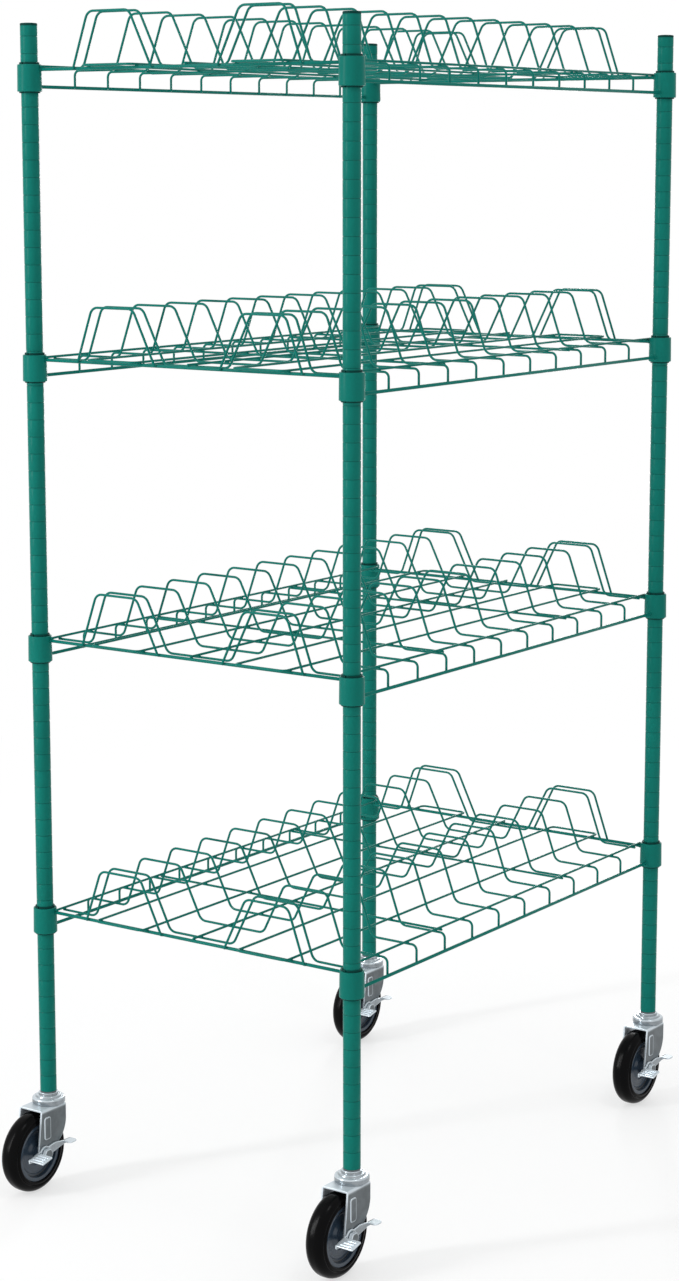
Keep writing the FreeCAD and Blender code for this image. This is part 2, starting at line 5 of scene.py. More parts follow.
import bmesh
import bpy
import numpy as np
from bpy.props import FloatProperty, FloatVectorProperty, IntProperty, PointerProperty
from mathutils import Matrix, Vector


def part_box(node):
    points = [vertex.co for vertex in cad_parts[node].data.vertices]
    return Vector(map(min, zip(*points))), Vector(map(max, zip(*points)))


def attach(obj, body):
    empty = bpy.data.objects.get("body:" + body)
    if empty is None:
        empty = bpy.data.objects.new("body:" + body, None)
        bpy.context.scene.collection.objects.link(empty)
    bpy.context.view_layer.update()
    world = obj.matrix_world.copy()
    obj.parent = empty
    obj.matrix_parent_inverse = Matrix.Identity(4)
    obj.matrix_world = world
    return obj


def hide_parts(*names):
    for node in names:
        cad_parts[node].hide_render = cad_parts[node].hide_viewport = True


bl_info = {
    "name": "Wire Drying Rack",
    "version": (1, 0, 0),
    "blender": (4, 5, 0),
    "location": "View3D > Sidebar > Drying Rack",
    "description": "Dresses the drying rack's posts, wire shelves and casters",
    "category": "Object",
}

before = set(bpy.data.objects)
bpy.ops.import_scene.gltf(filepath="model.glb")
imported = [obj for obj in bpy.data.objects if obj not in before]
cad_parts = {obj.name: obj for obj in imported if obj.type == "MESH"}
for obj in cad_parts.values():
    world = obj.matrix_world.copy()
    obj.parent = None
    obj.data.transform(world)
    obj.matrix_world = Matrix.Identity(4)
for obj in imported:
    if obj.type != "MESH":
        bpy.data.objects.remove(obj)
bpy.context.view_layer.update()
CORNERS = {
    "front_left": (-1, -1, 0),
    "front_right": (1, -1, 0),
    "back_left": (-1, 1, 0),
    "back_right": (1, 1, 0),
}
SHELVES = (1, 2, 3, 4)


def node_box(node):
    """Lowest and highest corner of a CAD node, as arrays."""
    low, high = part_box(node)
    return np.array(low), np.array(high)


POST_LOW, POST_HIGH = node_box("post_front_left")
CAP_LOW, CAP_HIGH = node_box("post_caps")
COLLAR_LOW, COLLAR_HIGH = node_box("shelf_1_collars")
SLEEVE_LOW, SLEEVE_HIGH = node_box("shelf_1_sleeves")
FRAME_LOW, FRAME_HIGH = node_box("shelf_1_frame_wires")
DECK_LOW, DECK_HIGH = node_box("shelf_1_deck_wires")
CROSS_LOW, CROSS_HIGH = node_box("shelf_1_cross_wires")
HUMP_LOW, HUMP_HIGH = node_box("shelf_1_end_humps")
BRACE_LOW, BRACE_HIGH = node_box("shelf_1_braces")
STEM_LOW, STEM_HIGH = node_box("caster_front_left_stem")
FORK_LOW, FORK_HIGH = node_box("caster_front_left_fork")
AXLE_LOW, AXLE_HIGH = node_box("caster_front_left_axle")
HUB_LOW, HUB_HIGH = node_box("caster_front_left_hub")
TYRE_LOW, TYRE_HIGH = node_box("caster_front_left_tyre")
LEVER_LOW, LEVER_HIGH = node_box("caster_front_left_brake_lever")

FIRST_POST = (POST_LOW + POST_HIGH) / 2
FIRST_LEVEL = (COLLAR_LOW[2] + COLLAR_HIGH[2]) / 2
COLLAR_RADIUS = COLLAR_HIGH[0] + FIRST_POST[0]
AXLE = np.array([(TYRE_LOW[0] + TYRE_HIGH[0]) / 2 - FIRST_POST[0], 0.0, (TYRE_LOW[2] + TYRE_HIGH[2]) / 2])

ALONG_X = np.array([1.0, 0.0, 0.0])
ALONG_Y = np.array([0.0, 1.0, 0.0])
UP = np.array([0.0, 0.0, 1.0])


def length(name, default, description):
    """A property that holds one length in metres."""
    return FloatProperty(name=name, description=description, default=float(default), precision=5,
                         subtype="DISTANCE", unit="LENGTH", min=0.0)


def angle(name, degrees, description):
    """A property that holds one angle."""
    return FloatProperty(name=name, description=description, default=math.radians(degrees),
                         subtype="ANGLE", unit="ROTATION")


def colour(name, default, description):
    """A property that holds one linear colour."""
    return FloatVectorProperty(name=name, description=description, default=default, size=3,
                               subtype="COLOR", min=0.0, max=1.0)


def amount(name, default, description):
    """A property that holds one plain number."""
    return FloatProperty(name=name, description=description, default=default, min=0.0)


class RackPostSizes(bpy.types.PropertyGroup):
    """Sizes of the posts, their plugs, and the collars and sleeves of the shelves"""
    diameter: length("Diameter", POST_HIGH[0] - POST_LOW[0], "Outside diameter of a corner post")
    wall: length("Wall", 0.0015, "Wall thickness of a corner post")
    edge: length("Edge", 0.0004, "Edge rounding of posts and sleeves")
    groove_pitch: length("Groove pitch", 0.0254, "Distance between neighbouring ring grooves")
    groove_width: length("Groove width", 0.0020, "Width of a ring groove")
    groove_depth: length("Groove depth", 0.0005, "Depth of a ring groove")
    cap_thickness: length("Cap thickness", 0.004, "Height of the plug above the post")
    cap_dome: length("Cap dome", 0.0006, "Rise of the plug's top from its edge to its middle")
    cap_edge: length("Cap edge", 0.0015, "Edge rounding of the plug")
    collar_wall: length("Collar wall", 0.0027, "Wall thickness of a corner collar")
    collar_taper: length("Collar taper", 0.0005, "How much a collar narrows from bottom to top")
    collar_lip: length("Collar lip", 0.0012, "Edge rounding of a corner collar")
    sleeve_wall: length("Sleeve wall", 0.00255, "Wall of the split sleeve at the collar's lower edge")
    sleeve_split: length("Sleeve split", 0.002, "Slit between the halves of a sleeve")
    seat: length("Seat", 0.00005, "Room between the post and the sleeve or plug")


class RackWireSizes(bpy.types.PropertyGroup):
    """Sizes of the shelves' wires and welds"""
    frame_wire: length("Frame wire", 0.005, "Diameter of the wires between the collars")
    deck_wire: length("Deck wire", DECK_HIGH[2] - DECK_LOW[2], "Diameter of the lengthwise wires")
    cross_wire: length("Cross wire", BRACE_HIGH[2] - BRACE_LOW[2], "Diameter of the humped wires")
    bend: length("Bend radius", 0.008, "Centreline radius of the loops' corners and the turned-down ends")
    hump_bend: length("Hump bend radius", 0.014, "Centreline radius of the humps' bends")
    pitch: length("Cross pitch", 0.0762, "Distance between neighbouring full cross wires")
    inner_foot: length("Inner foot", 0.0303, "From the inner loop wire to the hump's inner foot")
    outer_foot: length("Outer foot", 0.0259, "From the outer loop wire to the hump's outer foot")
    inner_lean: length("Inner lean", 0.040, "Run of the hump's inner leg across the shelf")
    outer_lean: length("Outer lean", 0.029, "Run of the hump's outer leg across the shelf")
    overhang: length("Overhang", 0.003, "How far a straight wire passes the wire it is welded to")
    sink: length("Sink", 0.001, "How far a frame wire enters its collar")
    weld: length("Weld", 0.0022, "Radius of the coated weld at a wire crossing")
    collar_weld: length("Collar weld", 0.0033, "Radius of the coated weld at a collar")
    count: IntProperty(name="Cross wires", description="Full cross wires on a shelf", default=10, min=4)
    sides: IntProperty(name="Sides", description="Points around a wire", default=14, min=8, max=32)


class RackCasterSizes(bpy.types.PropertyGroup):
    """Sizes of the casters"""
    race_skirt: length("Race skirt", 0.0025, "Sheet thickness of the ball race cover")
    race_hub: length("Race hub", 0.014, "Radius of the solid middle of the swivel")
    shoulder: length("Shoulder", 0.015, "Radius of the shoulder under the post")
    shoulder_height: length("Shoulder height", 0.004, "Height of the shoulder under the post")
    stem: length("Stem", 0.006, "Radius of the caster stem")
    stem_rise: length("Stem rise", 0.030, "How far the stem goes up into the post")
    kingpin: length("Kingpin head", 0.0105, "Radius of the riveted head under the crown")
    kingpin_height: length("Kingpin head height", 0.0045, "Height of the riveted head")
    sheet: length("Fork sheet", 0.003, "Sheet thickness of the fork")
    sheet_edge: length("Fork edge", 0.0006, "Rounding of the fork's sheet edges")
    fold: length("Fork fold", 0.004, "Outer radius of the fork's folds")
    eye: length("Fork eye", 0.013, "Radius of the fork's lower ends about the axle")
    rear: length("Crown rear", 0.004, "From the axle back to the rear edge of the crown")
    front_slope: angle("Front slope", 39.0, "Slope of the fork's lower front edge")
    front_sweep: length("Front sweep", 0.042, "Radius of the fork's front edge")
    rib_width: length("Rib width", 0.015, "Width of the pressed rib on a fork leg")
    rib_height: length("Rib height", 0.036, "Height of the pressed rib on a fork leg")
    rib_proud: length("Rib relief", 0.0012, "How far the rib stands off the leg")
    rib_margin: length("Rib margin", 0.012, "From the crown down to the rib")
    rib_setback: length("Rib setback", 0.008, "From the axle forward to the rib's middle")
    rib_corner: length("Rib corner", 0.0045, "Rounding of the rib's corners")
    axle: length("Axle", 0.005, "Radius of the axle bolt")
    flats: length("Hex size", 0.017, "Width of the bolt head and nut across their flats")
    hex_edge: length("Hex edge", 0.00085, "Rounding of the bolt head's and nut's faces")
    head: length("Bolt head", 0.0064, "Height of the bolt head")
    nut: length("Nut", 0.008, "Height of the nut with its washer face")
    nut_face: length("Washer face", 0.0005, "Height of the round face under the nut")
    thread: length("Thread end", 0.002, "How far the bolt stands out of its nut")
    spacer: length("Spacer", 0.0075, "Radius of the spacer tube in the hub")
    tyre: length("Tyre thickness", 0.0172, "From the hub to the tread")
    tyre_shoulder: length("Tyre shoulder", 0.0135, "Rounding of the tread's edges")
    crown: length("Tread crown", 0.0002, "Fall of the tread from its middle to its edges")
    bead: length("Tyre bead", 0.0055, "From the hub to the middle of the ring groove in the tyre's sides")
    bead_groove: length("Bead groove", 0.0018, "Depth of the ring groove in the tyre's sides")
    bead_spread: length("Bead groove spread", 0.0015, "Half width of that groove at a third of its depth")
    hub_rim: length("Hub rim", 0.006, "Thickness of the hub's outer rim")
    hub_rim_width: length("Hub rim width", 0.027, "Width of the hub's outer rim")
    hub_web: length("Hub web", 0.013, "Thickness of the hub's web")
    hub_ring: length("Hub ring", 0.0325, "Radius of the raised ring on the hub's web")
    ring_rise: length("Ring rise", 0.0005, "How far the ring stands off the web")
    ring_half: length("Ring half width", 0.0013, "Half width of the ring's top")
    ring_slope: length("Ring slope", 0.0007, "Run of the ring's sloping sides")
    hub_draft: length("Hub draft", 0.0012, "How far the rim's inside closes in towards the web")
    cone_foot: length("Cone foot", 0.02145, "Radius at which the web starts to rise to the boss")
    cone_gap: length("Cone gap", 0.0030, "From the boss out to the top of the cone")
    cone_step: length("Cone step", 0.0008, "Step of the web at the foot and at the top of the cone")
    cone_rise: length("Cone rise", 0.0040, "Height of the cone's top above the web")
    hub_boss: length("Hub boss", 0.0135, "Radius of the hub's middle")
    lever_sheet: length("Lever sheet", 0.0025, "Sheet thickness of the brake lever")
    lever_edge: length("Lever edge", 0.00075, "Rounding of the lever's sheet edges")
    lever_boss: length("Lever boss", 0.00025, "How far the eye stands off the arm on either side")
    lever_eye: length("Lever eye", 0.0125, "Radius of the brake lever about the axle")
    lever_web: length("Lever web", 0.006, "Height of the arm under the pedal's rear edge and under the tab")
    knee_reach: length("Knee reach", 0.0232, "From the axle forward to the highest point of the arm")
    knee_rise: length("Knee rise", 0.0126, "Height of the arm's highest point above the axle")
    pedal_length: length("Pedal length", 0.022, "Length of the pedal along the lever")
    pedal_rise: length("Pedal rise", 0.0063, "Height of the pedal's front edge above the axle")
    pedal_corner: length("Pedal corner", 0.002, "Rounding of the pedal's outer corners")
    tread_rise: length("Tread rise", 0.001, "How far the treads stand off the pedal")
    pedal_slope: angle("Pedal slope", 13.0, "How far the pedal leans back")
    tab_length: length("Tab length", 0.018, "Length of the release tab along the lever")
    tab_width: length("Tab width", 0.0165, "Width of the release tab across the lever")
    tab_corner: length("Tab corner", 0.006, "Rounding of the release tab's outer corners")
    tab_rise: length("Tab rise", 0.0093, "Height of the release tab above the axle")
    running_gap: length("Running gap", 0.0004, "Room between pieces that turn past each other")


class RackColours(bpy.types.PropertyGroup):
    """Linear colours of the finishes"""
    epoxy: colour("Epoxy", (0.0045, 0.163, 0.132), "Green coating of posts and wires")
    epoxy_deep: colour("Epoxy, deep", (0.0038, 0.1435, 0.1155), "Green coating where it lies thicker")
    plastic: colour("Black plastic", (0.002, 0.040, 0.034), "Sleeves and post caps")
    zinc: colour("Dull plating", (0.117, 0.134, 0.144), "Forks, bolts and hidden steel pieces")
    chrome: colour("Bright plating", (0.80, 0.885, 0.95), "Race covers, brake levers and rubbed edges")
    hub: colour("Hub", (0.024, 0.041, 0.064), "Slate plastic of the wheel centres")
    tyre: colour("Tyre", (0.0012, 0.0012, 0.0014), "Black rubber of the tyres")
    floor: colour("Floor", (0.92, 0.92, 0.92), "Plain floor under the rack")


class RackStudio(bpy.types.PropertyGroup):
    """Camera, lamps and background"""
    camera_place: FloatVectorProperty(name="Camera place", description="Where the camera stands", size=3,
                                      default=(-3.4625, -2.3909, 1.5756), subtype="TRANSLATION",
                                      unit="LENGTH")
    camera_turn: FloatVectorProperty(name="Camera turn", description="Which way the camera looks", size=3,
                                     default=(math.radians(80.775), 0.0, math.radians(-55.168)),
                                     subtype="EULER", unit="ROTATION")
    camera_shift: FloatVectorProperty(name="Camera shift", description="Framing of the picture", size=2,
                                      default=(-0.0099, -0.0343))
    lens: amount("Lens", 75.906, "Focal length in millimetres for a 36 mm high picture")
    sky: amount("Sky", 0.75, "Even light from all round")
    key: amount("Key light", 140.0, "Power in watts of the soft lamp to the left of the camera")
    top: amount("Top light", 24.0, "Power in watts of the small lamp above the rack")
    edge: amount("Edge light", 40.0, "Power in watts of the narrow lamp behind the rack")
    floor_glow: amount("Floor glow", 0.6, "How far the floor is lifted towards white in the picture")


# By slot, how much painted light lightens plating on faces that look up, and how much painted fill light
# lightens it on faces that look in
PLATED = {"zinc_steel": (0.68, 0.9), "chrome_plate": (0.9, 0.0)}
# Slots whose finish gets painted shade in hollows
PAINTED_HOLLOW_SHADE_SLOTS = ("green_epoxy", "slate_plastic")
# Turn of the surface from which a vertex counts fully as an edge or a hollow
SHARP_TURN = 0.08
# How much painted shade darkens plating in a hollow
HOLLOW_PAINTED_SHADE = 0.5
# Side of the soft lamp, towards which plated edges get a painted highlight over their wear, and the share
# that edges square to it keep
PAINTED_HIGHLIGHT_SIDE = np.array([-0.8, 0.0, 0.6])
CROSSWISE_EDGE_SHARE = 0.55
# Degrees from which the edges of folded and bevelled pieces stay sharp
SHEET_SHARP = 14.0
# Tilts of the rings of a domed wire end
END_TILT = np.radians([25.0, 50.0, 70.0, 84.0])
# Largest share of a narrow strip of sheet that one rounded edge takes
NARROW_EDGE = 0.49
# Corner rounding of bolt heads and nuts, as a share of their width
HEX_ROUNDING = 0.11
# Race cover: ceiling and step as shares of its height, and the step's foot and top as shares of its radius
RACE_CEILING = 0.6
RACE_STEP = 0.28
STEP_FOOT = 0.80
STEP_TOP = 0.74
# Treads on a pedal, shares of its width between which they lie, and their rounding as a share of the sheet
TREADS = 3
TREAD_NEAR = 0.18
TREAD_FAR = 0.88
TREAD_ROUNDING = 0.45
# Half width of the floor, and the distance at which it starts to fade into white and the width of the fade
FLOOR_REACH = 30.0
FADE_START = 0.8
FADE_WIDTH = 2.4
WHITE = (1.0, 1.0, 1.0, 1.0)
# Place, target, and width and height of every lamp
LAMPS = {
    "key": ((-4.2, 2.5, 2.5), (0.0, 0.0, 1.1), (0.45, 3.8)),
    "top": ((-0.8, -2.2, 4.6), (0.0, 0.0, 0.9), (1.0, 1.0)),
    "edge": ((3.2, 1.6, 1.6), (-0.4, -0.2, 0.9), (0.4, 3.0)),
}


# Surfaces as whole arrays

def unit(vectors):
    """The vectors divided by their lengths."""
    return vectors / np.maximum(np.linalg.norm(vectors, axis=-1, keepdims=True), 1e-12)


def grid_faces(rows, columns, close_rows=False):
    """Quads of a grid of points stored row by row, closed along its columns and, if asked, its rows."""
    row = np.arange(rows if close_rows else rows - 1)[:, None]
    column = np.arange(columns)
    here = row * columns
    there = (row + 1) % rows * columns
    after = (column + 1) % columns
    return np.stack([here + column, here + after, there + after, there + column], -1).reshape(-1, 4)


def capped_faces(rows, columns):
    """Quads of a grid that is closed along its columns, and a face over its first and its last row."""
    first = np.arange(columns)[None]
    return [grid_faces(rows, columns), first[:, ::-1], first + columns * (rows - 1)]


def rounded_path(corners, radius, steps=6, closed=False):
    """Points and directions of a polyline whose corners are rounded.

    At a corner with the entry direction e and the direction s square to it on the side of the turn, the
    arc is start + radius (sin(t) e + (1 - cos(t)) s), and its direction is cos(t) e + sin(t) s.
    """
    corners = np.asarray(corners, float)
    if closed:
        before, middle, after = np.roll(corners, 1, 0), corners, np.roll(corners, -1, 0)
    else:
        before, middle, after = corners[:-2], corners[1:-1], corners[2:]
    enter = unit(middle - before)
    leave = unit(after - middle)
    cosine = np.clip(np.sum(enter * leave, -1, keepdims=True), -1, 1)
    side = unit(leave - cosine * enter)
    turn = np.arccos(cosine)
    radius = np.broadcast_to(np.asarray(radius, float), (len(middle),))[:, None]
    start = middle - enter * radius * np.tan(turn / 2)
    sweep = (turn * np.linspace(0, 1, steps + 1))[..., None]
    bend = np.sin(sweep) * enter[:, None] + (1 - np.cos(sweep)) * side[:, None]
    points = (start[:, None] + radius[..., None] * bend).reshape(-1, corners.shape[1])
    directions = (np.cos(sweep) * enter[:, None] + np.sin(sweep) * side[:, None]).reshape(points.shape)
    if not closed:
        first = unit(corners[1:2] - corners[:1])
        last = unit(corners[-1:] - corners[-2:-1])
        points = np.concatenate([corners[:1], points, corners[-1:]])
        directions = np.concatenate([first, directions, last])
    return points, directions


def rounded_rows(rows, steps, closed=True):
    """Rounded path from rows that hold a corner's two coordinates and its rounding."""
    rows = np.asarray(rows, float)
    roundings = rows[:, 2] if closed else rows[1:-1, 2]
    return rounded_path(rows[:, :2], roundings, steps, closed)


def wire(corners, across, diameter, bend, sides, closed=False):
    """Round wire along a bent path that lies in the plane square to across.

    Every path point P with direction T carries the ring P + r (cos(a) across + sin(a) T x across).
    An open end is domed: over its last half radius the ring shrinks as r cos(t) while P advances as sin(t).
    """
    radius = diameter / 2
    path, direction = rounded_path(corners, bend, closed=closed)
    size = np.full(len(path), radius)
    if not closed:
        short = (0.5 - np.sin(END_TILT) / 2)[:, None] * radius
        head = path[:1] + direction[:1] * short
        tail = path[-1:] - direction[-1:] * short
        path[0] += direction[0] * radius / 2
        path[-1] -= direction[-1] * radius / 2
        path = np.concatenate([head[::-1], path, tail])
        start = direction[:1].repeat(len(END_TILT), 0)
        end = direction[-1:].repeat(len(END_TILT), 0)
        direction = np.concatenate([start, direction, end])
        size = np.concatenate([radius * np.cos(END_TILT)[::-1], size, radius * np.cos(END_TILT)])
    around = np.linspace(0, 2 * np.pi, sides, endpoint=False)[:, None]
    sideways = np.cross(direction, across)
    ring = np.cos(around) * across + np.sin(around) * sideways[:, None]
    points = (path[:, None] + size[:, None, None] * ring).reshape(-1, 3)
    if closed:
        return points, [grid_faces(len(path), sides, close_rows=True)]
    return points, capped_faces(len(path), sides)


def turned(profile, sides, closed=True):
    """Profile of (radius, height) points carried round Z: (r cos(a), r sin(a), h).

    The profile rises on its outer side.  One that starts and ends on the axis isn't closed.
    """
    profile = np.asarray(profile, float)
    around = np.linspace(0, 2 * np.pi, sides, endpoint=False)
    radius, height = profile[:, :1], profile[:, 1:]
    points = np.stack([radius * np.cos(around), radius * np.sin(around), height + 0 * around], -1)
    return points.reshape(-1, 3), [grid_faces(len(profile), sides, close_rows=closed)]


def on_axle(surface):
    """A surface turned about Z, laid on the axle with its +Z towards +Y: (x, y, z) goes to (x, z, -y)."""
    points, faces = surface
    return points[:, [0, 2, 1]] * (1, 1, -1) + AXLE, faces


def quarter_round(bevel):
    """How far a ring is drawn in, and how deep it lies, along a quarter-round edge from face to side."""
    tilt = np.radians([0.0, 30.0, 60.0, 90.0])
    return bevel * (1 - np.sin(tilt)), bevel * (1 - np.cos(tilt))


def plate(outline, thickness, bevel, origin, along, up):
    """Flat plate of a closed outline with quarter-round edges.

    The outline runs counter-clockwise in (u, v).  A ring point is origin + u along + v up + w (along x up).
    The rings near both faces are drawn in along the outline's outward normals.  A further ring, one bevel
    inside the border of each face, keeps the rubbed edge narrow.
    """
    flat, directions = outline
    outward = np.stack([directions[:, 1], -directions[:, 0]], -1)
    inset, depth = quarter_round(bevel)
    inset = np.concatenate([[2 * bevel], inset, inset[::-1], [2 * bevel]])[:, None, None]
    level = np.concatenate([[0.0], depth, thickness - depth[::-1], [thickness]])[:, None, None]
    rings = flat - inset * outward
    points = origin + rings[..., :1] * along + rings[..., 1:] * up + level * np.cross(along, up)
    return points.reshape(-1, 3), capped_faces(len(level), len(flat))


def circle(radius, count=48):
    """Closed outline of a circle, as points and directions."""
    around = np.linspace(0, 2 * np.pi, count, endpoint=False)
    ray = np.stack([np.cos(around), np.sin(around)], -1)
    return radius * ray, np.stack([-ray[:, 1], ray[:, 0]], -1)


def hexagon(flats):
    """Closed outline of a hexagon whose corners are rounded by a share of its width."""
    around = np.arange(6) * np.pi / 3
    corners = flats / math.sqrt(3) * np.stack([np.cos(around), np.sin(around)], -1)
    return rounded_path(corners, flats * HEX_ROUNDING, 4, closed=True)


def lathe(rows, steps, sides, closed=True):
    """Surface turned about Z whose profile has the given rows of radius, height and rounding."""
    return turned(rounded_rows(rows, steps, closed)[0], sides, closed)


def joined(surfaces):
    """Several surfaces as one."""
    starts = np.cumsum([0] + [len(points) for points, _ in surfaces])
    points = np.concatenate([points for points, _ in surfaces])
    faces = [block + start for (_, blocks), start in zip(surfaces, starts) for block in blocks]
    return points, faces


def shifted(surface, offset):
    """A surface moved by an offset."""
    points, faces = surface
    return points + np.asarray(offset, float), faces


def read_all(items, field, width, kind=np.float32):
    """One field of all items of a mesh, as rows of an array."""
    values = np.empty((len(items), width), kind)
    items.foreach_get(field, values.reshape(-1))
    return values


def turn_share(mesh):
    """How sharply the surface turns at each vertex: up to one on an edge, down to minus one in a hollow.

    An edge between two faces turns by 1 - n1 . n2.  It counts as a hollow where the second face's middle
    lies above the first face.  A vertex has the sum over its edges, divided by the sum for a rounded edge.
    """
    normals = read_all(mesh.polygons, "normal", 3)
    middles = read_all(mesh.polygons, "center", 3)
    sides = read_all(mesh.polygons, "loop_total", 1, np.int32)[:, 0]
    edges = read_all(mesh.loops, "edge_index", 1, np.int32)[:, 0]
    order = np.argsort(edges, kind="stable")
    faces = np.repeat(np.arange(len(sides)), sides)[order]
    paired = edges[order][:-1] == edges[order][1:]
    first, second = faces[:-1][paired], faces[1:][paired]
    turn = 1 - np.sum(normals[first] * normals[second], -1)
    rise = np.sum((middles[second] - middles[first]) * normals[first], -1)
    ends = read_all(mesh.edges, "vertices", 2, np.int32)[edges[order][:-1][paired]]
    total = np.bincount(ends.ravel(), np.repeat(np.where(rise > 0, -turn, turn), 2), len(mesh.vertices))
    return np.clip(total / SHARP_TURN, -1.0, 1.0)


def bright_share(mesh, upper, inner):
    """How much painted light the plating gets at each vertex, with wear: edges most, then faces that look
    up and faces that look in.

    Edges stand for wear and carry a painted highlight as far as they look to the lamp side; faces that look
    up get painted light, faces that look in get painted fill light, and hollows get painted shade.  A face
    looks in where its normal points to the upright plane through the middle of the piece.
    """
    points = read_all(mesh.vertices, "co", 3)
    normals = read_all(mesh.vertices, "normal", 3)
    side = np.sign(points[:, 1] - (points[:, 1].min() + points[:, 1].max()) / 2)
    turn = turn_share(mesh)
    lamp_side_highlight = np.clip(CROSSWISE_EDGE_SHARE + (1 - CROSSWISE_EDGE_SHARE) * normals @ PAINTED_HIGHLIGHT_SIDE, 0.0, 1.0)
    # Painted highlight on edges towards the lamp over their wear, painted light on upward faces, painted
    # fill light on inward faces
    plain = np.max([turn * lamp_side_highlight, upper * normals[:, 2], inner * -side * normals[:, 1]], 0)
    # Painted shade in hollows
    return plain + HOLLOW_PAINTED_SHADE * np.minimum(turn, 0.0)


def share_on(mesh, name, values):
    """Keep a share from zero to one at each vertex, for the finishes to read."""
    mesh.attributes.new(name, "FLOAT", "POINT").data.foreach_set("value", np.clip(values, 0.0, 1.0))


def linked(name, data):
    """A new object with the given data, linked into the scene."""
    made = bpy.data.objects.new(name, data)
    bpy.context.scene.collection.objects.link(made)
    return made


def add_piece(name, surface, slot, body, nodes, sharp=38.0, polish=0.0):
    """Put a surface into the scene as a piece that rides on a body and stands for CAD nodes."""
    points, faces = surface
    mesh = bpy.data.meshes.new(name)
    mesh.from_pydata(points.tolist(), [], [face for block in faces for face in block.tolist()])
    working = bmesh.new()
    working.from_mesh(mesh)
    bmesh.ops.remove_doubles(working, verts=working.verts, dist=1e-7)
    working.to_mesh(mesh)
    working.free()
    mesh.shade_smooth()
    mesh.set_sharp_from_angle(angle=math.radians(sharp))
    mesh.materials.append(finish(slot))
    # Plated pieces keep a share of edge wear with painted highlight, painted light and painted shade
    if slot in PLATED:
        share_on(mesh, "bright", polish + bright_share(mesh, *PLATED[slot]))
    elif slot in PAINTED_HOLLOW_SHADE_SLOTS:
        # Other pieces keep a share of painted shade in their hollows
        share_on(mesh, "hollow", -turn_share(mesh))
    piece = linked(name, mesh)
    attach(piece, body)
    if nodes:
        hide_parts(*nodes)


def add_to_corners(name, surface, slot, body, node, **looks):
    """Put a surface at every post.  In the names of piece, body and node, {} stands for the corner."""
    for corner, place in post_places().items():
        add_piece(name.format(corner), shifted(surface, place), slot, body.format(corner),
                  [node.format(corner)], **looks)


def add_to_shelves(name, surface, nodes, slot="green_epoxy", **looks):
    """Put a surface at the level of every shelf, as a fixed piece that stands for that shelf's nodes."""
    for shelf in SHELVES:
        start = "shelf_%d_" % shelf
        add_piece(start + name, shifted(surface, UP * shelf_level(shelf)), slot, "rack",
                  [start + node for node in nodes], **looks)


# Finishes

class Shade:
    """One socket of a node tree.  Arithmetic on it adds Math nodes."""

    def __init__(self, tree, socket=None):
        self.tree = tree
        self.socket = socket

    def node(self, kind, settings=None, inputs=None, output=0):
        """Add a node: its settings first, then the values or links of its sockets."""
        made = self.tree.nodes.new(kind)
        for key, value in (settings or {}).items():
            setattr(made, key, value)
        for key, value in (inputs or {}).items():
            if isinstance(value, Shade):
                self.tree.links.new(value.socket, made.inputs[key])
            else:
                made.inputs[key].default_value = value
        return Shade(self.tree, made.outputs[output] if made.outputs else None)

    def math(self, operation, first, second):
        return self.node("ShaderNodeMath", {"operation": operation}, {0: first, 1: second})

    def __add__(self, other):
        return self.math("ADD", self, other)

    __radd__ = __add__

    def __mul__(self, other):
        return self.math("MULTIPLY", self, other)

    __rmul__ = __mul__

    def above(self, edge, width):
        """Zero below the edge, rising smoothly to one over the width."""
        return self.node("ShaderNodeMapRange", {"interpolation_type": "SMOOTHSTEP"},
                         {"Value": self, "From Min": edge, "From Max": edge + width})

    def mixed(self, first, second):
        """Colour between two colours, with this value as the share of the second."""
        return self.node("ShaderNodeMix", {"data_type": "RGBA"}, {0: self, 6: first, 7: second}, 2)

    def noise(self, scale, detail):
        """Soft noise over this vector, from about zero to one."""
        inputs = {"Vector": self, "Scale": scale, "Detail": detail}
        return self.node("ShaderNodeTexNoise", None, inputs, "Fac")

    def stretched(self, scale):
        """This vector scaled differently along the axes."""
        return self.node("ShaderNodeMapping", None, {"Vector": self, "Scale": scale})

    def bump(self, distance, strength):
        """Normal of a surface whose height is this value."""
        inputs = {"Height": self, "Distance": distance, "Strength": strength}
        return self.node("ShaderNodeBump", None, inputs)


def place_on(tree):
    """Object coordinates in a material."""
    return Shade(tree).node("ShaderNodeTexCoord", None, None, "Object")


def share_of(tree, name):
    """A share that add_piece keeps on the mesh, in a material."""
    return Shade(tree).node("ShaderNodeAttribute", {"attribute_name": name}, None, "Fac")


def tone(values, share=1.0):
    """Colour socket value of a linear colour, lightened or darkened by a share."""
    return (values[0] * share, values[1] * share, values[2] * share, 1.0)


def epoxy_finish(tree, colours):
    """Baked green epoxy: slightly uneven colour, painted shade in the grooves, fine orange peel with a soft
    sheen.
    """
    place = place_on(tree)
    drift = place.noise(9.0, 3.0)
    speck = place.noise(260.0, 3.0)
    peel = place.noise(900.0, 1.0)
    share = (drift * 0.7 + speck * 0.3).above(0.3, 0.4)
    plain = share.mixed(tone(colours.epoxy_deep), tone(colours.epoxy))
    # Painted shade: grooves and other hollows are darkened towards a deeper green
    base = share_of(tree, "hollow").mixed(plain, tone(colours.epoxy_deep, 0.7))
    return {"Base Color": base, "Roughness": 0.24 + speck * 0.14, "Specular IOR Level": 0.055,
            "Normal": peel.bump(0.00012, 0.3)}


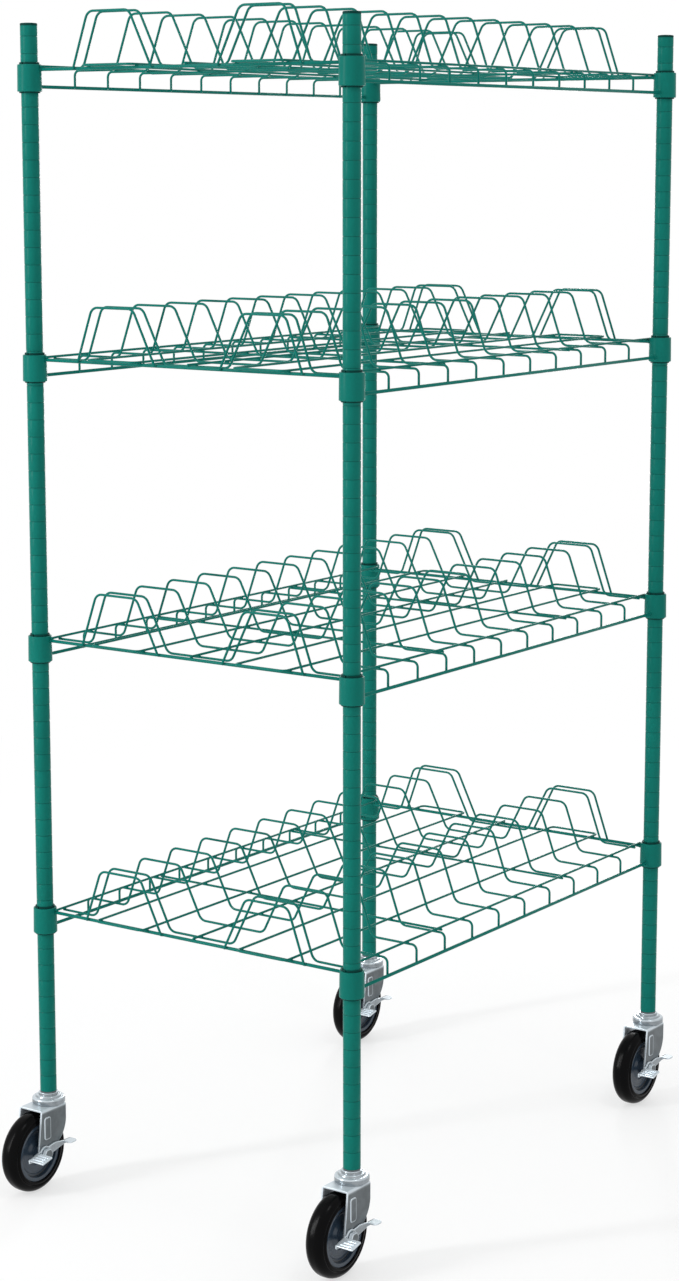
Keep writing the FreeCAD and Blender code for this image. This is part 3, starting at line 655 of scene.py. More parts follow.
def plastic_finish(tree, colours):
    """Moulded black plastic with a faint grain."""
    place = place_on(tree)
    grain = place.noise(1400.0, 2.0)
    base = place.noise(60.0, 2.0).mixed(tone(colours.plastic, 0.8), tone(colours.plastic, 1.4))
    return {"Base Color": base, "Roughness": 0.40 + grain * 0.2, "Specular IOR Level": 0.05,
            "Normal": grain.bump(0.0001, 0.3)}


def zinc_finish(tree, colours):
    """Zinc-plated sheet: dull clouded grey with an upright grain, worn edges with a painted highlight,
    painted light and shade.
    """
    place = place_on(tree)
    bright = share_of(tree, "bright")
    cloud = place.noise(70.0, 4.0)
    grain = place.stretched((900.0, 900.0, 90.0)).noise(1.0, 3.0)
    dull = cloud.above(0.3, 0.4).mixed(tone(colours.zinc, 0.85), tone(colours.zinc, 1.15))
    # Painted light mixed with wear: edges towards the lamp, upward faces and inward faces are lightened,
    # and hollows get painted shade
    base = bright.mixed(dull, tone(colours.chrome))
    return {"Base Color": base, "Metallic": 0.65 + bright * -0.3, "Normal": grain.bump(0.00004, 0.3),
            "Roughness": 0.26 + (grain * 0.6 + cloud * 0.4) * 0.2}


def chrome_finish(tree, colours):
    """Bright plating, greyer on upright faces by painted light, worn edges with a painted highlight, slight
    waviness and a trace of handling marks.
    """
    place = place_on(tree)
    bright = share_of(tree, "bright")
    wave = place.noise(120.0, 2.0)
    marks = place.noise(700.0, 3.0)
    # Painted light mixed with wear: worn edges with a painted highlight and upward faces are lighter, and
    # hollows get painted shade
    base = (bright * 0.85 + wave * 0.3).mixed(tone(colours.chrome, 0.22), tone(colours.chrome))
    return {"Base Color": base, "Metallic": 0.85 + bright * -0.6, "Roughness": 0.14 + marks * 0.2,
            "Normal": wave.bump(0.0002, 0.12)}


def hub_finish(tree, colours):
    """Slate plastic of a wheel centre, half glossy with a moulded grain and painted shade in its hollows.
    """
    place = place_on(tree)
    cloud = place.noise(120.0, 3.0)
    grain = place.noise(1100.0, 2.0)
    plain = cloud.mixed(tone(colours.hub, 0.8), tone(colours.hub, 1.2))
    # Painted shade darkens the hollows
    base = share_of(tree, "hollow").mixed(plain, tone(colours.hub, 0.3))
    return {"Base Color": base, "Roughness": 0.22 + grain * 0.10, "Specular IOR Level": 0.50,
            "Normal": grain.bump(0.00008, 0.25)}


def tyre_finish(tree, colours):
    """Black rubber: dark and fairly smooth, with a fine mould texture and a trace of dust."""
    place = place_on(tree)
    dust = place.noise(45.0, 4.0)
    grain = place.noise(1600.0, 2.0)
    base = (dust * 0.4).mixed(tone(colours.tyre), tone(colours.tyre, 2.4))
    return {"Base Color": base, "Roughness": 0.15 + dust * 0.14, "Specular IOR Level": 0.06,
            "Normal": grain.bump(0.0001, 0.2)}


FINISHES = {
    "green_epoxy": epoxy_finish,
    "black_plastic": plastic_finish,
    "zinc_steel": zinc_finish,
    "chrome_plate": chrome_finish,
    "slate_plastic": hub_finish,
    "black_tyre": tyre_finish,
}


def fresh_tree(owner):
    """The emptied node tree of a material or a world."""
    owner.use_nodes = True
    owner.node_tree.nodes.clear()
    return owner.node_tree


def finish(slot):
    """The material of a slot, made when it is first asked for."""
    name = slot + "_finish"
    if name in bpy.data.materials:
        return bpy.data.materials[name]
    material = bpy.data.materials.new(name)
    tree = fresh_tree(material)
    inputs = FINISHES[slot](tree, bpy.context.scene.rack_colours)
    shader = Shade(tree).node("ShaderNodeBsdfPrincipled", None, inputs)
    shader.node("ShaderNodeOutputMaterial", None, {"Surface": shader})
    return material


# Places that several pieces share

def post_places():
    """Foot of every post axis on the floor, by corner name."""
    half = np.abs(FIRST_POST)
    return {corner: half * signs for corner, signs in CORNERS.items()}


def shelf_level(shelf):
    """Height of the middle of a shelf's corner collars."""
    low, high = node_box("shelf_%d_collars" % shelf)
    return (low[2] + high[2]) / 2


class ShelfPlan:
    """Centrelines of a shelf's wires, with heights measured from the collars' middle."""

    def __init__(self, wires):
        half_deck = wires.deck_wire / 2
        half_cross = wires.cross_wire / 2
        half_frame = wires.frame_wire / 2
        self.side_y = FRAME_HIGH[1] - half_frame
        self.lower_z = FRAME_LOW[2] + half_frame - FIRST_LEVEL
        self.end_x = FRAME_HIGH[0] - half_frame
        self.end_z = FRAME_HIGH[2] - half_frame - FIRST_LEVEL
        self.deck_z = DECK_HIGH[2] - half_deck - FIRST_LEVEL
        self.loop_x = DECK_HIGH[0] - half_deck
        self.long_y = DECK_HIGH[1] - half_deck
        self.line_y = self.long_y / 3 * np.arange(-3, 4)
        self.cross_z = BRACE_HIGH[2] - half_cross - FIRST_LEVEL
        self.top_z = CROSS_HIGH[2] - half_cross - FIRST_LEVEL
        self.drop_y = CROSS_HIGH[1] - half_cross
        self.drop_z = CROSS_LOW[2] - FIRST_LEVEL
        self.end_cross_x = CROSS_HIGH[0] - half_cross
        self.hump_x = HUMP_HIGH[0] - half_cross
        self.hump_z = HUMP_LOW[2] + half_cross / 2 - FIRST_LEVEL
        self.brace_x = BRACE_HIGH[0] - half_cross
        self.inner_foot = self.long_y / 3 - wires.inner_foot
        self.inner_top = self.inner_foot + wires.inner_lean
        self.outer_foot = self.long_y * 2 / 3 + wires.outer_foot
        self.outer_top = self.outer_foot - wires.outer_lean
        self.cross_x = (np.arange(wires.count) - (wires.count - 1) / 2) * wires.pitch


# Posts and shelf corners

class RACK_OT_posts(bpy.types.Operator):
    """Grooved corner posts and their plugs"""
    bl_idname = "rack.posts"
    bl_label = "Posts and Plugs"

    def post(self, sizes):
        """Tube with ring grooves.

        At a distance d from a groove's middle the outer radius is R - depth (1 - (2 d / width)^2)^2.
        """
        radius = sizes.diameter / 2
        bore = radius - sizes.wall
        low, high = POST_LOW[2], POST_HIGH[2]
        count = int((high - low - sizes.groove_width) / sizes.groove_pitch)
        middle = low + sizes.groove_pitch * (np.arange(count) + 1)
        share = np.linspace(-0.5, 0.5, 7)
        height = (middle[:, None] + share * sizes.groove_width).ravel()
        depth = np.tile(sizes.groove_depth * (1 - (2 * share) ** 2) ** 2, count)
        foot = [(radius - sizes.edge, low), (radius, low + sizes.edge)]
        head = [(radius, high - sizes.edge), (radius - sizes.edge, high), (bore, high), (bore, low)]
        return turned(np.concatenate([foot, np.stack([radius - depth, height], -1), head]), 40)

    def plug(self, sizes):
        """Turned about the axis: a skirt in the tube and a lid with a rounded edge and a domed top."""
        radius = sizes.diameter / 2
        skirt = radius - sizes.wall - sizes.seat
        low, top = CAP_LOW[2], CAP_HIGH[2]
        lid = top - sizes.cap_thickness
        dome = sizes.cap_dome
        rows = [(0, low, 0), (skirt, low, dome), (skirt, lid, 0), (radius, lid, dome / 2),
                (radius, top - dome, sizes.cap_edge), (radius / 2, top, radius / 4), (0, top, 0)]
        return lathe(rows, steps=5, sides=40, closed=False)

    def execute(self, context):
        sizes = context.scene.rack_posts
        add_to_corners("grooved_post_{}", self.post(sizes), "green_epoxy", "rack", "post_{}")
        plug = self.plug(sizes)
        plugs = joined([shifted(plug, place) for place in post_places().values()])
        add_piece("post_plugs", plugs, "black_plastic", "rack", ["post_caps"])
        return {"FINISHED"}


class RACK_OT_collars(bpy.types.Operator):
    """Corner collars of the shelves and the split sleeves inside them"""
    bl_idname = "rack.collars"
    bl_label = "Collars and Sleeves"

    def collar(self, sizes, half):
        """Tapered ring with rolled edges, turned about the post axis with its middle at height 0."""
        outer = COLLAR_RADIUS
        bore = outer - sizes.collar_wall
        taper = sizes.collar_taper
        rows = [(bore, -half, sizes.edge), (outer, -half, sizes.collar_lip),
                (outer - taper, half, sizes.collar_lip), (bore - taper, half, sizes.edge)]
        return lathe(rows, steps=5, sides=56)

    def sleeve_half(self, sizes, half, start):
        """Section of the sleeve carried over half a turn less the slit: (r cos(a), r sin(a), h)."""
        inner = sizes.diameter / 2 + sizes.seat
        low = SLEEVE_LOW[2] - FIRST_LEVEL
        high = SLEEVE_HIGH[2] - FIRST_LEVEL
        slope = sizes.collar_taper / (2 * half)
        outer = inner + sizes.sleeve_wall
        corners = [(inner, low), (outer - slope * (low + half), low), (outer - slope * (high + half), high),
                   (inner, high)]
        profile = rounded_path(corners, sizes.edge, 4, closed=True)[0]
        slit = sizes.sleeve_split / inner
        around = np.linspace(start + slit / 2, start + np.pi - slit / 2, 30)[:, None]
        radius, height = profile[:, 0], profile[:, 1]
        points = np.stack([radius * np.cos(around), radius * np.sin(around), height + 0 * around], -1)
        faces = [block[:, ::-1] for block in capped_faces(len(around), len(profile))]
        return points.reshape(-1, 3), faces

    def execute(self, context):
        sizes = context.scene.rack_posts
        half = (COLLAR_HIGH[2] - COLLAR_LOW[2]) / 2
        collar = self.collar(sizes, half)
        sleeve = joined([self.sleeve_half(sizes, half, start) for start in (0.0, np.pi)])
        places = post_places().values()
        add_to_shelves("corner_collars", joined([shifted(collar, place) for place in places]), ["collars"])
        add_to_shelves("split_sleeves", joined([shifted(sleeve, place) for place in places]), ["sleeves"],
                       slot="black_plastic")
        return {"FINISHED"}


# Shelf wires and welds

class RACK_OT_shelf_wires(bpy.types.Operator):
    """Frame, deck, cross and brace wires of every shelf"""
    bl_idname = "rack.shelf_wires"
    bl_label = "Shelf Wires"

    def frame_wires(self, wires, plan):
        """Straight heavy wires between the collars: low along the sides, high at the ends."""
        into = COLLAR_RADIUS - wires.sink
        side_reach = abs(FIRST_POST[0]) - into
        end_reach = plan.side_y - into
        made = []
        for sign in (-1, 1):
            x = sign * plan.end_x
            y = sign * plan.side_y
            side = [(-side_reach, y, plan.lower_z), (side_reach, y, plan.lower_z)]
            end = [(x, -end_reach, plan.end_z), (x, end_reach, plan.end_z)]
            made += [wire(run, UP, wires.frame_wire, 0.0, wires.sides) for run in (side, end)]
        return joined(made)

    def deck_wires(self, wires, plan):
        """Three straight lengthwise wires and two closed loops that overhang both ends."""
        reach = plan.end_x + wires.overhang
        made = []
        for y in plan.line_y[::3]:
            run = [(-reach, y, plan.deck_z), (reach, y, plan.deck_z)]
            made.append(wire(run, UP, wires.deck_wire, 0.0, wires.sides))
        for near, far in (plan.line_y[4:6], plan.line_y[1:3]):
            loop = [(-plan.loop_x, near, plan.deck_z), (plan.loop_x, near, plan.deck_z),
                    (plan.loop_x, far, plan.deck_z), (-plan.loop_x, far, plan.deck_z)]
            made.append(wire(loop, UP, wires.deck_wire, wires.bend, wires.sides, closed=True))
        return joined(made)

    def cross_wires(self, wires, plan):
        """Humped wires: full ones turn down to the low side wires, the pair at the ends stops short."""
        hump = [(plan.outer_foot, plan.cross_z), (plan.outer_top, plan.top_z), (plan.inner_top, plan.top_z),
                (plan.inner_foot, plan.cross_z)]
        turned_down = [(plan.drop_y, plan.drop_z), (plan.drop_y, plan.cross_z)]
        straight = [(plan.long_y + wires.overhang, plan.cross_z)]
        made = []
        for end, places in ((turned_down, plan.cross_x), (straight, (-plan.end_cross_x, plan.end_cross_x))):
            half = end + hump
            path = [(0, -y, z) for y, z in half] + [(0, y, z) for y, z in reversed(half)]
            end_bends = [wires.bend] * (len(end) - 1)
            bends = end_bends + [wires.hump_bend] * (2 * len(hump)) + end_bends
            one = wire(path, ALONG_X, wires.cross_wire, bends, wires.sides)
            made += [shifted(one, (x, 0, 0)) for x in places]
        return joined(made)

    def end_humps(self, wires, plan):
        """Upstands that close both rows of humps at the ends."""
        made = []
        for x in (-plan.hump_x, plan.hump_x):
            for sign in (-1, 1):
                path = [(x, sign * plan.outer_foot, plan.hump_z), (x, sign * plan.outer_top, plan.top_z),
                        (x, sign * plan.inner_top, plan.top_z), (x, sign * plan.inner_foot, plan.hump_z)]
                made.append(wire(path, ALONG_X, wires.cross_wire, wires.hump_bend, wires.sides))
        return joined(made)

    def braces(self, wires, plan):
        """Straight wires under the deck wires."""
        reach = plan.long_y + wires.overhang
        made = []
        for x in (-plan.brace_x, plan.brace_x):
            run = [(x, -reach, plan.cross_z), (x, reach, plan.cross_z)]
            made.append(wire(run, UP, wires.cross_wire, 0.0, wires.sides))
        return joined(made)

    def execute(self, context):
        wires = context.scene.rack_wires
        plan = ShelfPlan(wires)
        groups = {
            "frame_wires": ("collar_wires", self.frame_wires),
            "deck_wires": ("lengthwise_wires", self.deck_wires),
            "cross_wires": ("humped_wires", self.cross_wires),
            "end_humps": ("end_upstands", self.end_humps),
            "braces": ("brace_wires", self.braces),
        }
        for node, (name, build) in groups.items():
            add_to_shelves(name, build(wires, plan), [node])
        return {"FINISHED"}


class RACK_OT_welds(bpy.types.Operator):
    """Coated spot welds where the shelf wires cross and meet the collars"""
    bl_idname = "rack.welds"
    bl_label = "Welds"

    def spots(self, x, y, z):
        """All combinations of the given places as rows of points."""
        return np.stack(np.meshgrid(x, y, z, indexing="ij"), -1).reshape(-1, 3)

    def beads(self, centres, radius):
        """Small round beads, each (r cos(t) cos(a), r cos(t) sin(a), r sin(t)) about its centre."""
        tilt = np.radians([-90.0, -45.0, 0.0, 45.0, 90.0])
        points, (faces,) = turned(radius * np.stack([np.cos(tilt), np.sin(tilt)], -1), 8, closed=False)
        starts = len(points) * np.arange(len(centres))[:, None, None]
        return (centres[:, None] + points).reshape(-1, 3), [(faces + starts).reshape(-1, 4)]

    def execute(self, context):
        wires = context.scene.rack_wires
        plan = ShelfPlan(wires)
        both = np.array([-1.0, 1.0])
        under_deck = plan.deck_z - wires.deck_wire / 2
        cross_x = np.concatenate([plan.cross_x, plan.end_cross_x * both])
        feet = np.concatenate([plan.inner_foot * both, plan.outer_foot * both])
        side_touch = plan.side_y - wires.frame_wire / 2
        end_touch = plan.end_x + wires.frame_wire / 2
        collar_x = abs(FIRST_POST[0]) - COLLAR_RADIUS
        collar_y = plan.side_y - COLLAR_RADIUS
        small = np.concatenate([
            self.spots(cross_x, plan.line_y[::3], under_deck),
            self.spots(plan.brace_x * both, plan.line_y, under_deck),
            self.spots(plan.end_x * both, plan.line_y, under_deck),
            self.spots(plan.cross_x, side_touch * both, plan.lower_z),
            self.spots(end_touch * both, feet, plan.end_z),
        ])
        large = np.concatenate([
            self.spots(collar_x * both, plan.side_y * both, plan.lower_z),
            self.spots(plan.end_x * both, collar_y * both, plan.end_z),
        ])
        surface = joined([self.beads(small, wires.weld), self.beads(large, wires.collar_weld)])
        add_to_shelves("spot_welds", surface, [], sharp=60.0)
        return {"FINISHED"}


# Casters, modelled about the post axis with the wheel trailing towards -X

class RACK_OT_swivels(bpy.types.Operator):
    """Stems, ball race covers and kingpin heads of the casters"""
    bl_idname = "rack.swivels"
    bl_label = "Swivels"

    def swivel(self, sizes):
        """Turned about the post axis: kingpin head, open race under a stepped dome, shoulder and stem."""
        gap = sizes.running_gap
        head_low = STEM_LOW[2]
        head_high = head_low + sizes.kingpin_height
        skirt_low = FORK_HIGH[2] + gap
        race = (STEM_HIGH[0] - STEM_LOW[0]) / 2
        inside = race - sizes.race_skirt
        stem_top = STEM_HIGH[2]
        shoulder_top = stem_top - sizes.stem_rise
        dome_top = shoulder_top - sizes.shoulder_height
        dome = dome_top - skirt_low
        ceiling = skirt_low + dome * RACE_CEILING
        step = dome_top - dome * RACE_STEP
        rows = [(0, head_low, 0), (sizes.kingpin, head_low, 0.0015), (sizes.kingpin, head_high, 0.0004),
                (sizes.stem, head_high, 0.0002), (sizes.stem, skirt_low, 0.0002),
                (sizes.race_hub, skirt_low, 0.0005), (sizes.race_hub, ceiling, 0.0005),
                (inside, ceiling, 0.0005), (inside, skirt_low, 0.0004), (race, skirt_low, 0.0008),
                (race, step, 0.0030), (race * STEP_FOOT, step + gap, 0.0010),
                (race * STEP_TOP, dome_top, 0.0018),
                (sizes.shoulder, dome_top, 0.0010), (sizes.shoulder, shoulder_top, 0.0009),
                (sizes.stem, shoulder_top, 0.0004), (sizes.stem, stem_top, 0.0010), (0, stem_top, 0)]
        return lathe(rows, steps=6, sides=64, closed=False)

    def execute(self, context):
        add_to_corners("swivel_{}", self.swivel(context.scene.rack_casters), "chrome_plate", "rack",
                       "caster_{}_stem", polish=-0.3)
        return {"FINISHED"}


class RACK_OT_forks(bpy.types.Operator):
    """Folded sheet forks with a pressed rib on each leg"""
    bl_idname = "rack.forks"
    bl_label = "Forks"

    def edge_lines(self, sizes):
        """Rear and front edge of a leg as (x, height) lines that rise from the eye to the crown."""
        crown = FORK_HIGH[2]
        front = FORK_HIGH[0] - FIRST_POST[0]
        slope = sizes.front_slope
        swing = np.linspace(0, np.pi / 2, 16)
        rear_arc = np.stack([AXLE[0] - sizes.eye * np.sin(swing), AXLE[2] - sizes.eye * np.cos(swing)], -1)
        rear_line = np.concatenate([rear_arc, [(AXLE[0] - sizes.rear, crown)]])
        swing = np.linspace(0, slope, 12)
        front_arc = np.stack([AXLE[0] + sizes.eye * np.sin(swing), AXLE[2] - sizes.eye * np.cos(swing)], -1)
        knee = (front, front_arc[-1, 1] + (front - front_arc[-1, 0]) * math.tan(slope))
        sweep = rounded_path([front_arc[-1], knee, (front, crown)], sizes.front_sweep, 16)[0]
        return rear_line, np.concatenate([front_arc, sweep[1:]])

    def sheet(self, sizes, half_width):
        """Rounded strip section carried up one leg, over the crown and down the other.

        At each station the section spans from the rear edge to the front edge of that height along X, and
        half the sheet to either side along the normal of the folded middle line.
        """
        rear_line, front_line = self.edge_lines(sizes)
        half_sheet = sizes.sheet / 2
        leg_y = half_width - half_sheet
        crown_z = FORK_HIGH[2] - half_sheet
        fold = sizes.fold - half_sheet
        bottom = AXLE[2] - sizes.eye
        swing = np.linspace(0, np.pi / 2, 14)
        eye_z = AXLE[2] - sizes.eye * np.cos(swing)
        leg_z = np.concatenate([eye_z, np.linspace(AXLE[2], crown_z - fold, 30)[1:]])
        corners = [(-leg_y, bottom), (-leg_y, crown_z), (leg_y, crown_z), (leg_y, bottom)]
        folds, directions = rounded_path(corners, fold, 5)
        leg = np.stack([np.full(len(leg_z), -leg_y), leg_z], -1)
        path = np.concatenate([leg, folds[2:-2], leg[::-1] * (-1, 1)])
        rise = np.tile((0.0, 1.0), (len(leg), 1))
        direction = np.concatenate([rise, directions[2:-2], -rise])
        normal = np.stack([-direction[:, 1], direction[:, 0]], -1)
        rear = np.interp(path[:, 1], rear_line[:, 1], rear_line[:, 0])[:, None]
        front = np.interp(path[:, 1], front_line[:, 1], front_line[:, 0])[:, None]
        bevel = np.minimum(sizes.sheet_edge, (front - rear) * NARROW_EDGE)
        inset, depth = quarter_round(1.0)
        inset = np.append(inset, 0.0)
        depth = np.append(depth, 2.0)
        across = np.concatenate([rear + bevel * depth, front - bevel * depth[::-1],
                                 front - bevel * depth, rear + bevel * depth[::-1]], 1)
        off = np.concatenate([half_sheet - bevel * inset, half_sheet - bevel * inset[::-1],
                              bevel * inset - half_sheet, bevel * inset[::-1] - half_sheet], 1)
        sideways = path[:, :1] + off * normal[:, :1]
        height = path[:, 1:] + off * normal[:, 1:]
        points = np.stack([across, sideways, height], -1)
        return points.reshape(-1, 3), [grid_faces(len(path), across.shape[1])]

    def rib(self, sizes, half_width, sign):
        """Pressed rib: a raised plate with wide rounded edges on the outside of a leg."""
        wide = sizes.rib_width / 2
        tall = sizes.rib_height / 2
        along, up, u, v = (ALONG_X, UP, wide, tall) if sign < 0 else (UP, ALONG_X, tall, wide)
        outline = rounded_path([(-u, -v), (u, -v), (u, v), (-u, v)], sizes.rib_corner, 10, closed=True)
        middle_z = FORK_HIGH[2] - sizes.rib_margin - tall
        origin = np.array([AXLE[0] + sizes.rib_setback, sign * (half_width - sizes.rib_proud), middle_z])
        return plate(outline, 2 * sizes.rib_proud, sizes.rib_proud, origin, along, up)

    def execute(self, context):
        sizes = context.scene.rack_casters
        half_width = (FORK_HIGH[1] - FORK_LOW[1]) / 2 - sizes.rib_proud
        ribs = [self.rib(sizes, half_width, sign) for sign in (-1, 1)]
        fork = joined([self.sheet(sizes, half_width)] + ribs)
        add_to_corners("folded_fork_{}", fork, "zinc_steel", "fork_{}", "caster_{}_fork", sharp=SHEET_SHARP)
        return {"FINISHED"}


class RACK_OT_axles(bpy.types.Operator):
    """Axle bolts with their nuts and spacer tubes"""
    bl_idname = "rack.axles"
    bl_label = "Axles"

    def axle(self, sizes):
        """Hexagonal head and nut with rounded faces, a turned shank and a turned spacer tube."""
        head_face = AXLE_LOW[1] - FIRST_POST[1] + sizes.head
        tip = AXLE_HIGH[1] - FIRST_POST[1]
        seat = tip - sizes.thread - sizes.nut
        nut_low = seat + sizes.nut_face
        inside = (HUB_HIGH[1] - HUB_LOW[1]) / 2 + sizes.running_gap
        edge = sizes.hex_edge
        rim = edge / 4
        bolt = sizes.axle
        tube = sizes.spacer
        flat = sizes.flats / 2
        shank = [(0, head_face, 0), (bolt, head_face, 0), (bolt, tip, edge), (0, tip, 0)]
        spacer = [(bolt, -inside, rim), (tube, -inside, rim), (tube, inside, rim), (bolt, inside, rim)]
        face_top = nut_low + edge
        face = [(bolt, seat, rim), (flat, seat, rim), (flat, face_top, rim), (bolt, face_top, rim)]
        head_place = AXLE + ALONG_Y * head_face
        nut_place = AXLE + ALONG_Y * nut_low
        return joined([
            plate(hexagon(sizes.flats), sizes.head, edge, head_place, ALONG_X, UP),
            plate(hexagon(sizes.flats), sizes.nut - sizes.nut_face, edge, nut_place, UP, ALONG_X),
            on_axle(lathe(shank, steps=4, sides=32, closed=False)),
            on_axle(lathe(spacer, steps=2, sides=32)),
            on_axle(lathe(face, steps=2, sides=40)),
        ])

    def execute(self, context):
        add_to_corners("axle_bolt_{}", self.axle(context.scene.rack_casters), "zinc_steel", "fork_{}",
                       "caster_{}_axle", sharp=SHEET_SHARP)
        return {"FINISHED"}


class RACK_OT_wheels(bpy.types.Operator):
    """Wheel hubs and tyres"""
    bl_idname = "rack.wheels"
    bl_label = "Wheels"

    def both_sides(self, half):
        """Rows of a closed profile from those of its upper half, which runs from outside to the bore."""
        half = np.asarray(half, float)
        return np.concatenate([half, half[::-1] * (1, -1, 1)])

    def hub(self, sizes):
        """Turned about the axle: broad rim, sunk web with a raised ring, and a stepped boss."""
        outer = (TYRE_HIGH[2] - TYRE_LOW[2]) / 2 - sizes.tyre
        rim = sizes.hub_rim_width / 2
        rim_inside = outer - sizes.hub_rim
        web = sizes.hub_web / 2
        boss = (HUB_HIGH[1] - HUB_LOW[1]) / 2
        bore = sizes.spacer + sizes.running_gap / 8
        ring = sizes.hub_ring
        ring_top = web + sizes.ring_rise
        ring_edge = sizes.ring_half
        ring_foot = ring_edge + sizes.ring_slope
        middle = sizes.hub_boss
        cone_top = web + sizes.cone_rise
        half = [(outer, rim, 0.0008), (rim_inside, rim, 0.0011),
                (rim_inside - sizes.hub_draft, web, 0.0014), (ring + ring_foot, web, 0.0007),
                (ring + ring_edge, ring_top, 0.0006), (ring - ring_edge, ring_top, 0.0006),
                (ring - ring_foot, web, 0.0007), (sizes.cone_foot, web + sizes.cone_step, 0.0030),
                (middle + sizes.cone_gap, cone_top, 0.0015), (middle, cone_top + sizes.cone_step, 0.0004),
                (middle - sizes.hub_draft / 2, boss, 0.0009), (bore, boss, 0.0003)]
        return on_axle(lathe(self.both_sides(half), steps=5, sides=72))

    def tyre(self, sizes):
        """Turned about the axle: round shoulders, slightly crowned tread and a ring groove in each side.

        At the radius r the groove takes depth exp(-((r - middle) / spread)^2) off the half width.
        """
        tread = (TYRE_HIGH[2] - TYRE_LOW[2]) / 2
        half = (TYRE_HIGH[1] - TYRE_LOW[1]) / 2
        bore = tread - sizes.tyre + sizes.running_gap / 8
        rows = self.both_sides([(tread, 0.0, 0.0200), (tread - sizes.crown, half, sizes.tyre_shoulder),
                                (bore, half, 0.0018)])[1:]
        path = rounded_rows(rows, 32)[0]
        away = (path[:, 0] - bore - sizes.bead) / sizes.bead_spread
        path[:, 1] -= np.sign(path[:, 1]) * sizes.bead_groove * np.exp(-away ** 2)
        return on_axle(turned(path, 96))

    def execute(self, context):
        sizes = context.scene.rack_casters
        add_to_corners("wheel_hub_{}", self.hub(sizes), "slate_plastic", "wheel_{}", "caster_{}_hub")
        add_to_corners("wheel_tyre_{}", self.tyre(sizes), "black_tyre", "wheel_{}", "caster_{}_tyre")
        return {"FINISHED"}


class RACK_OT_brakes(bpy.types.Operator):
    """Brake levers with their pedals and release tabs"""
    bl_idname = "rack.brakes"
    bl_label = "Brake Levers"

    def arm(self, sizes, rear, front, origin):
        """Upright plate from under the pedal, over a knee, to under the tab, with a round eye."""
        web = sizes.lever_web
        sheet = sizes.lever_sheet
        edge = sizes.lever_edge
        boss = sizes.lever_boss
        pedal_low = sizes.pedal_rise - sizes.pedal_length * math.tan(sizes.pedal_slope)
        tab_rear = front - sizes.tab_length
        rows = [(rear, pedal_low - web, 0.0020), (0, -sizes.lever_eye / 2, 0.0100),
                (tab_rear, sizes.tab_rise - web, 0.0120), (front, sizes.tab_rise - web, 0.0025),
                (front, sizes.tab_rise, 0.0016), (tab_rear, sizes.tab_rise, 0.0200),
                (sizes.knee_reach, sizes.knee_rise, 0.0200),
                (rear + sizes.pedal_length, sizes.pedal_rise, 0.0100), (rear, pedal_low, 0.0016)]
        eye_place = origin + ALONG_Y * boss
        return [
            plate(rounded_rows(rows, 10), sheet, edge, origin, ALONG_X, UP),
            plate(circle(sizes.lever_eye), sheet + 2 * boss, edge, eye_place, ALONG_X, UP),
        ]

    def flange(self, sizes, span, width, corner, origin, along):
        """Plate bent outwards from the arm: it spans along the arm's top edge, with round outer corners."""
        rear, front = span
        sheet = sizes.lever_sheet
        inner = sheet - sizes.lever_edge
        rows = [(rear, -width, corner), (front, -width, corner), (front, 0.0, inner), (rear, 0.0, inner)]
        under = origin - np.cross(along, ALONG_Y) * sheet
        return plate(rounded_rows(rows, 10), sheet, sizes.lever_edge, under, along, ALONG_Y)

    def treads(self, sizes, span, width, origin, along):
        """Low rounded bars across the pedal, half a sheet deep in it."""
        rear, front = span
        sheet = sizes.lever_sheet
        near = -width * TREAD_NEAR
        far = -width * TREAD_FAR
        depth = sheet / 2 + sizes.tread_rise
        sunk = origin - np.cross(along, ALONG_Y) * sheet / 2
        bars = []
        for middle in np.linspace(rear, front, TREADS + 2)[1:-1]:
            left = middle - sheet / 2
            right = middle + sheet / 2
            corners = [(left, far), (right, far), (right, near), (left, near)]
            outline = rounded_path(corners, sheet * TREAD_ROUNDING, 10, closed=True)
            bars.append(plate(outline, depth, sizes.tread_rise / 2, sunk, along, ALONG_Y))
        return bars

    def lever(self, sizes):
        """Arm with its eye, sloping pedal with treads behind the axle and level release tab before it."""
        middle = FIRST_POST + AXLE
        origin = AXLE + ALONG_Y * (LEVER_HIGH[1] - FIRST_POST[1])
        rear = LEVER_LOW[0] - middle[0]
        front = LEVER_HIGH[0] - middle[0]
        width = LEVER_HIGH[1] - LEVER_LOW[1]
        along = np.array([math.cos(sizes.pedal_slope), 0.0, math.sin(sizes.pedal_slope)])
        pedal_span = np.array([rear, rear + sizes.pedal_length]) / along[0]
        pedal_origin = origin + UP * (sizes.pedal_rise - pedal_span[1] * along[2])
        tab_span = (front - sizes.tab_length, front)
        pieces = self.arm(sizes, rear, front, origin)
        pieces.append(self.flange(sizes, pedal_span, width, sizes.pedal_corner, pedal_origin, along))
        pieces.append(self.flange(sizes, tab_span, sizes.tab_width, sizes.tab_corner,
                                  origin + UP * sizes.tab_rise, ALONG_X))
        return joined(pieces + self.treads(sizes, pedal_span, width, pedal_origin, along))

    def execute(self, context):
        add_to_corners("brake_pedal_{}", self.lever(context.scene.rack_casters), "chrome_plate", "brake_{}",
                       "caster_{}_brake_lever", sharp=SHEET_SHARP)
        return {"FINISHED"}


class RACK_OT_hidden_steel(bpy.types.Operator):
    """Finish of the stem sockets and bearing balls, which keep their CAD shapes"""
    bl_idname = "rack.hidden_steel"
    bl_label = "Sockets and Balls"

    def execute(self, context):
        for node in ("stem_sockets", "swivel_balls"):
            materials = bpy.data.objects[node].data.materials
            materials.clear()
            materials.append(finish("zinc_steel"))
        return {"FINISHED"}


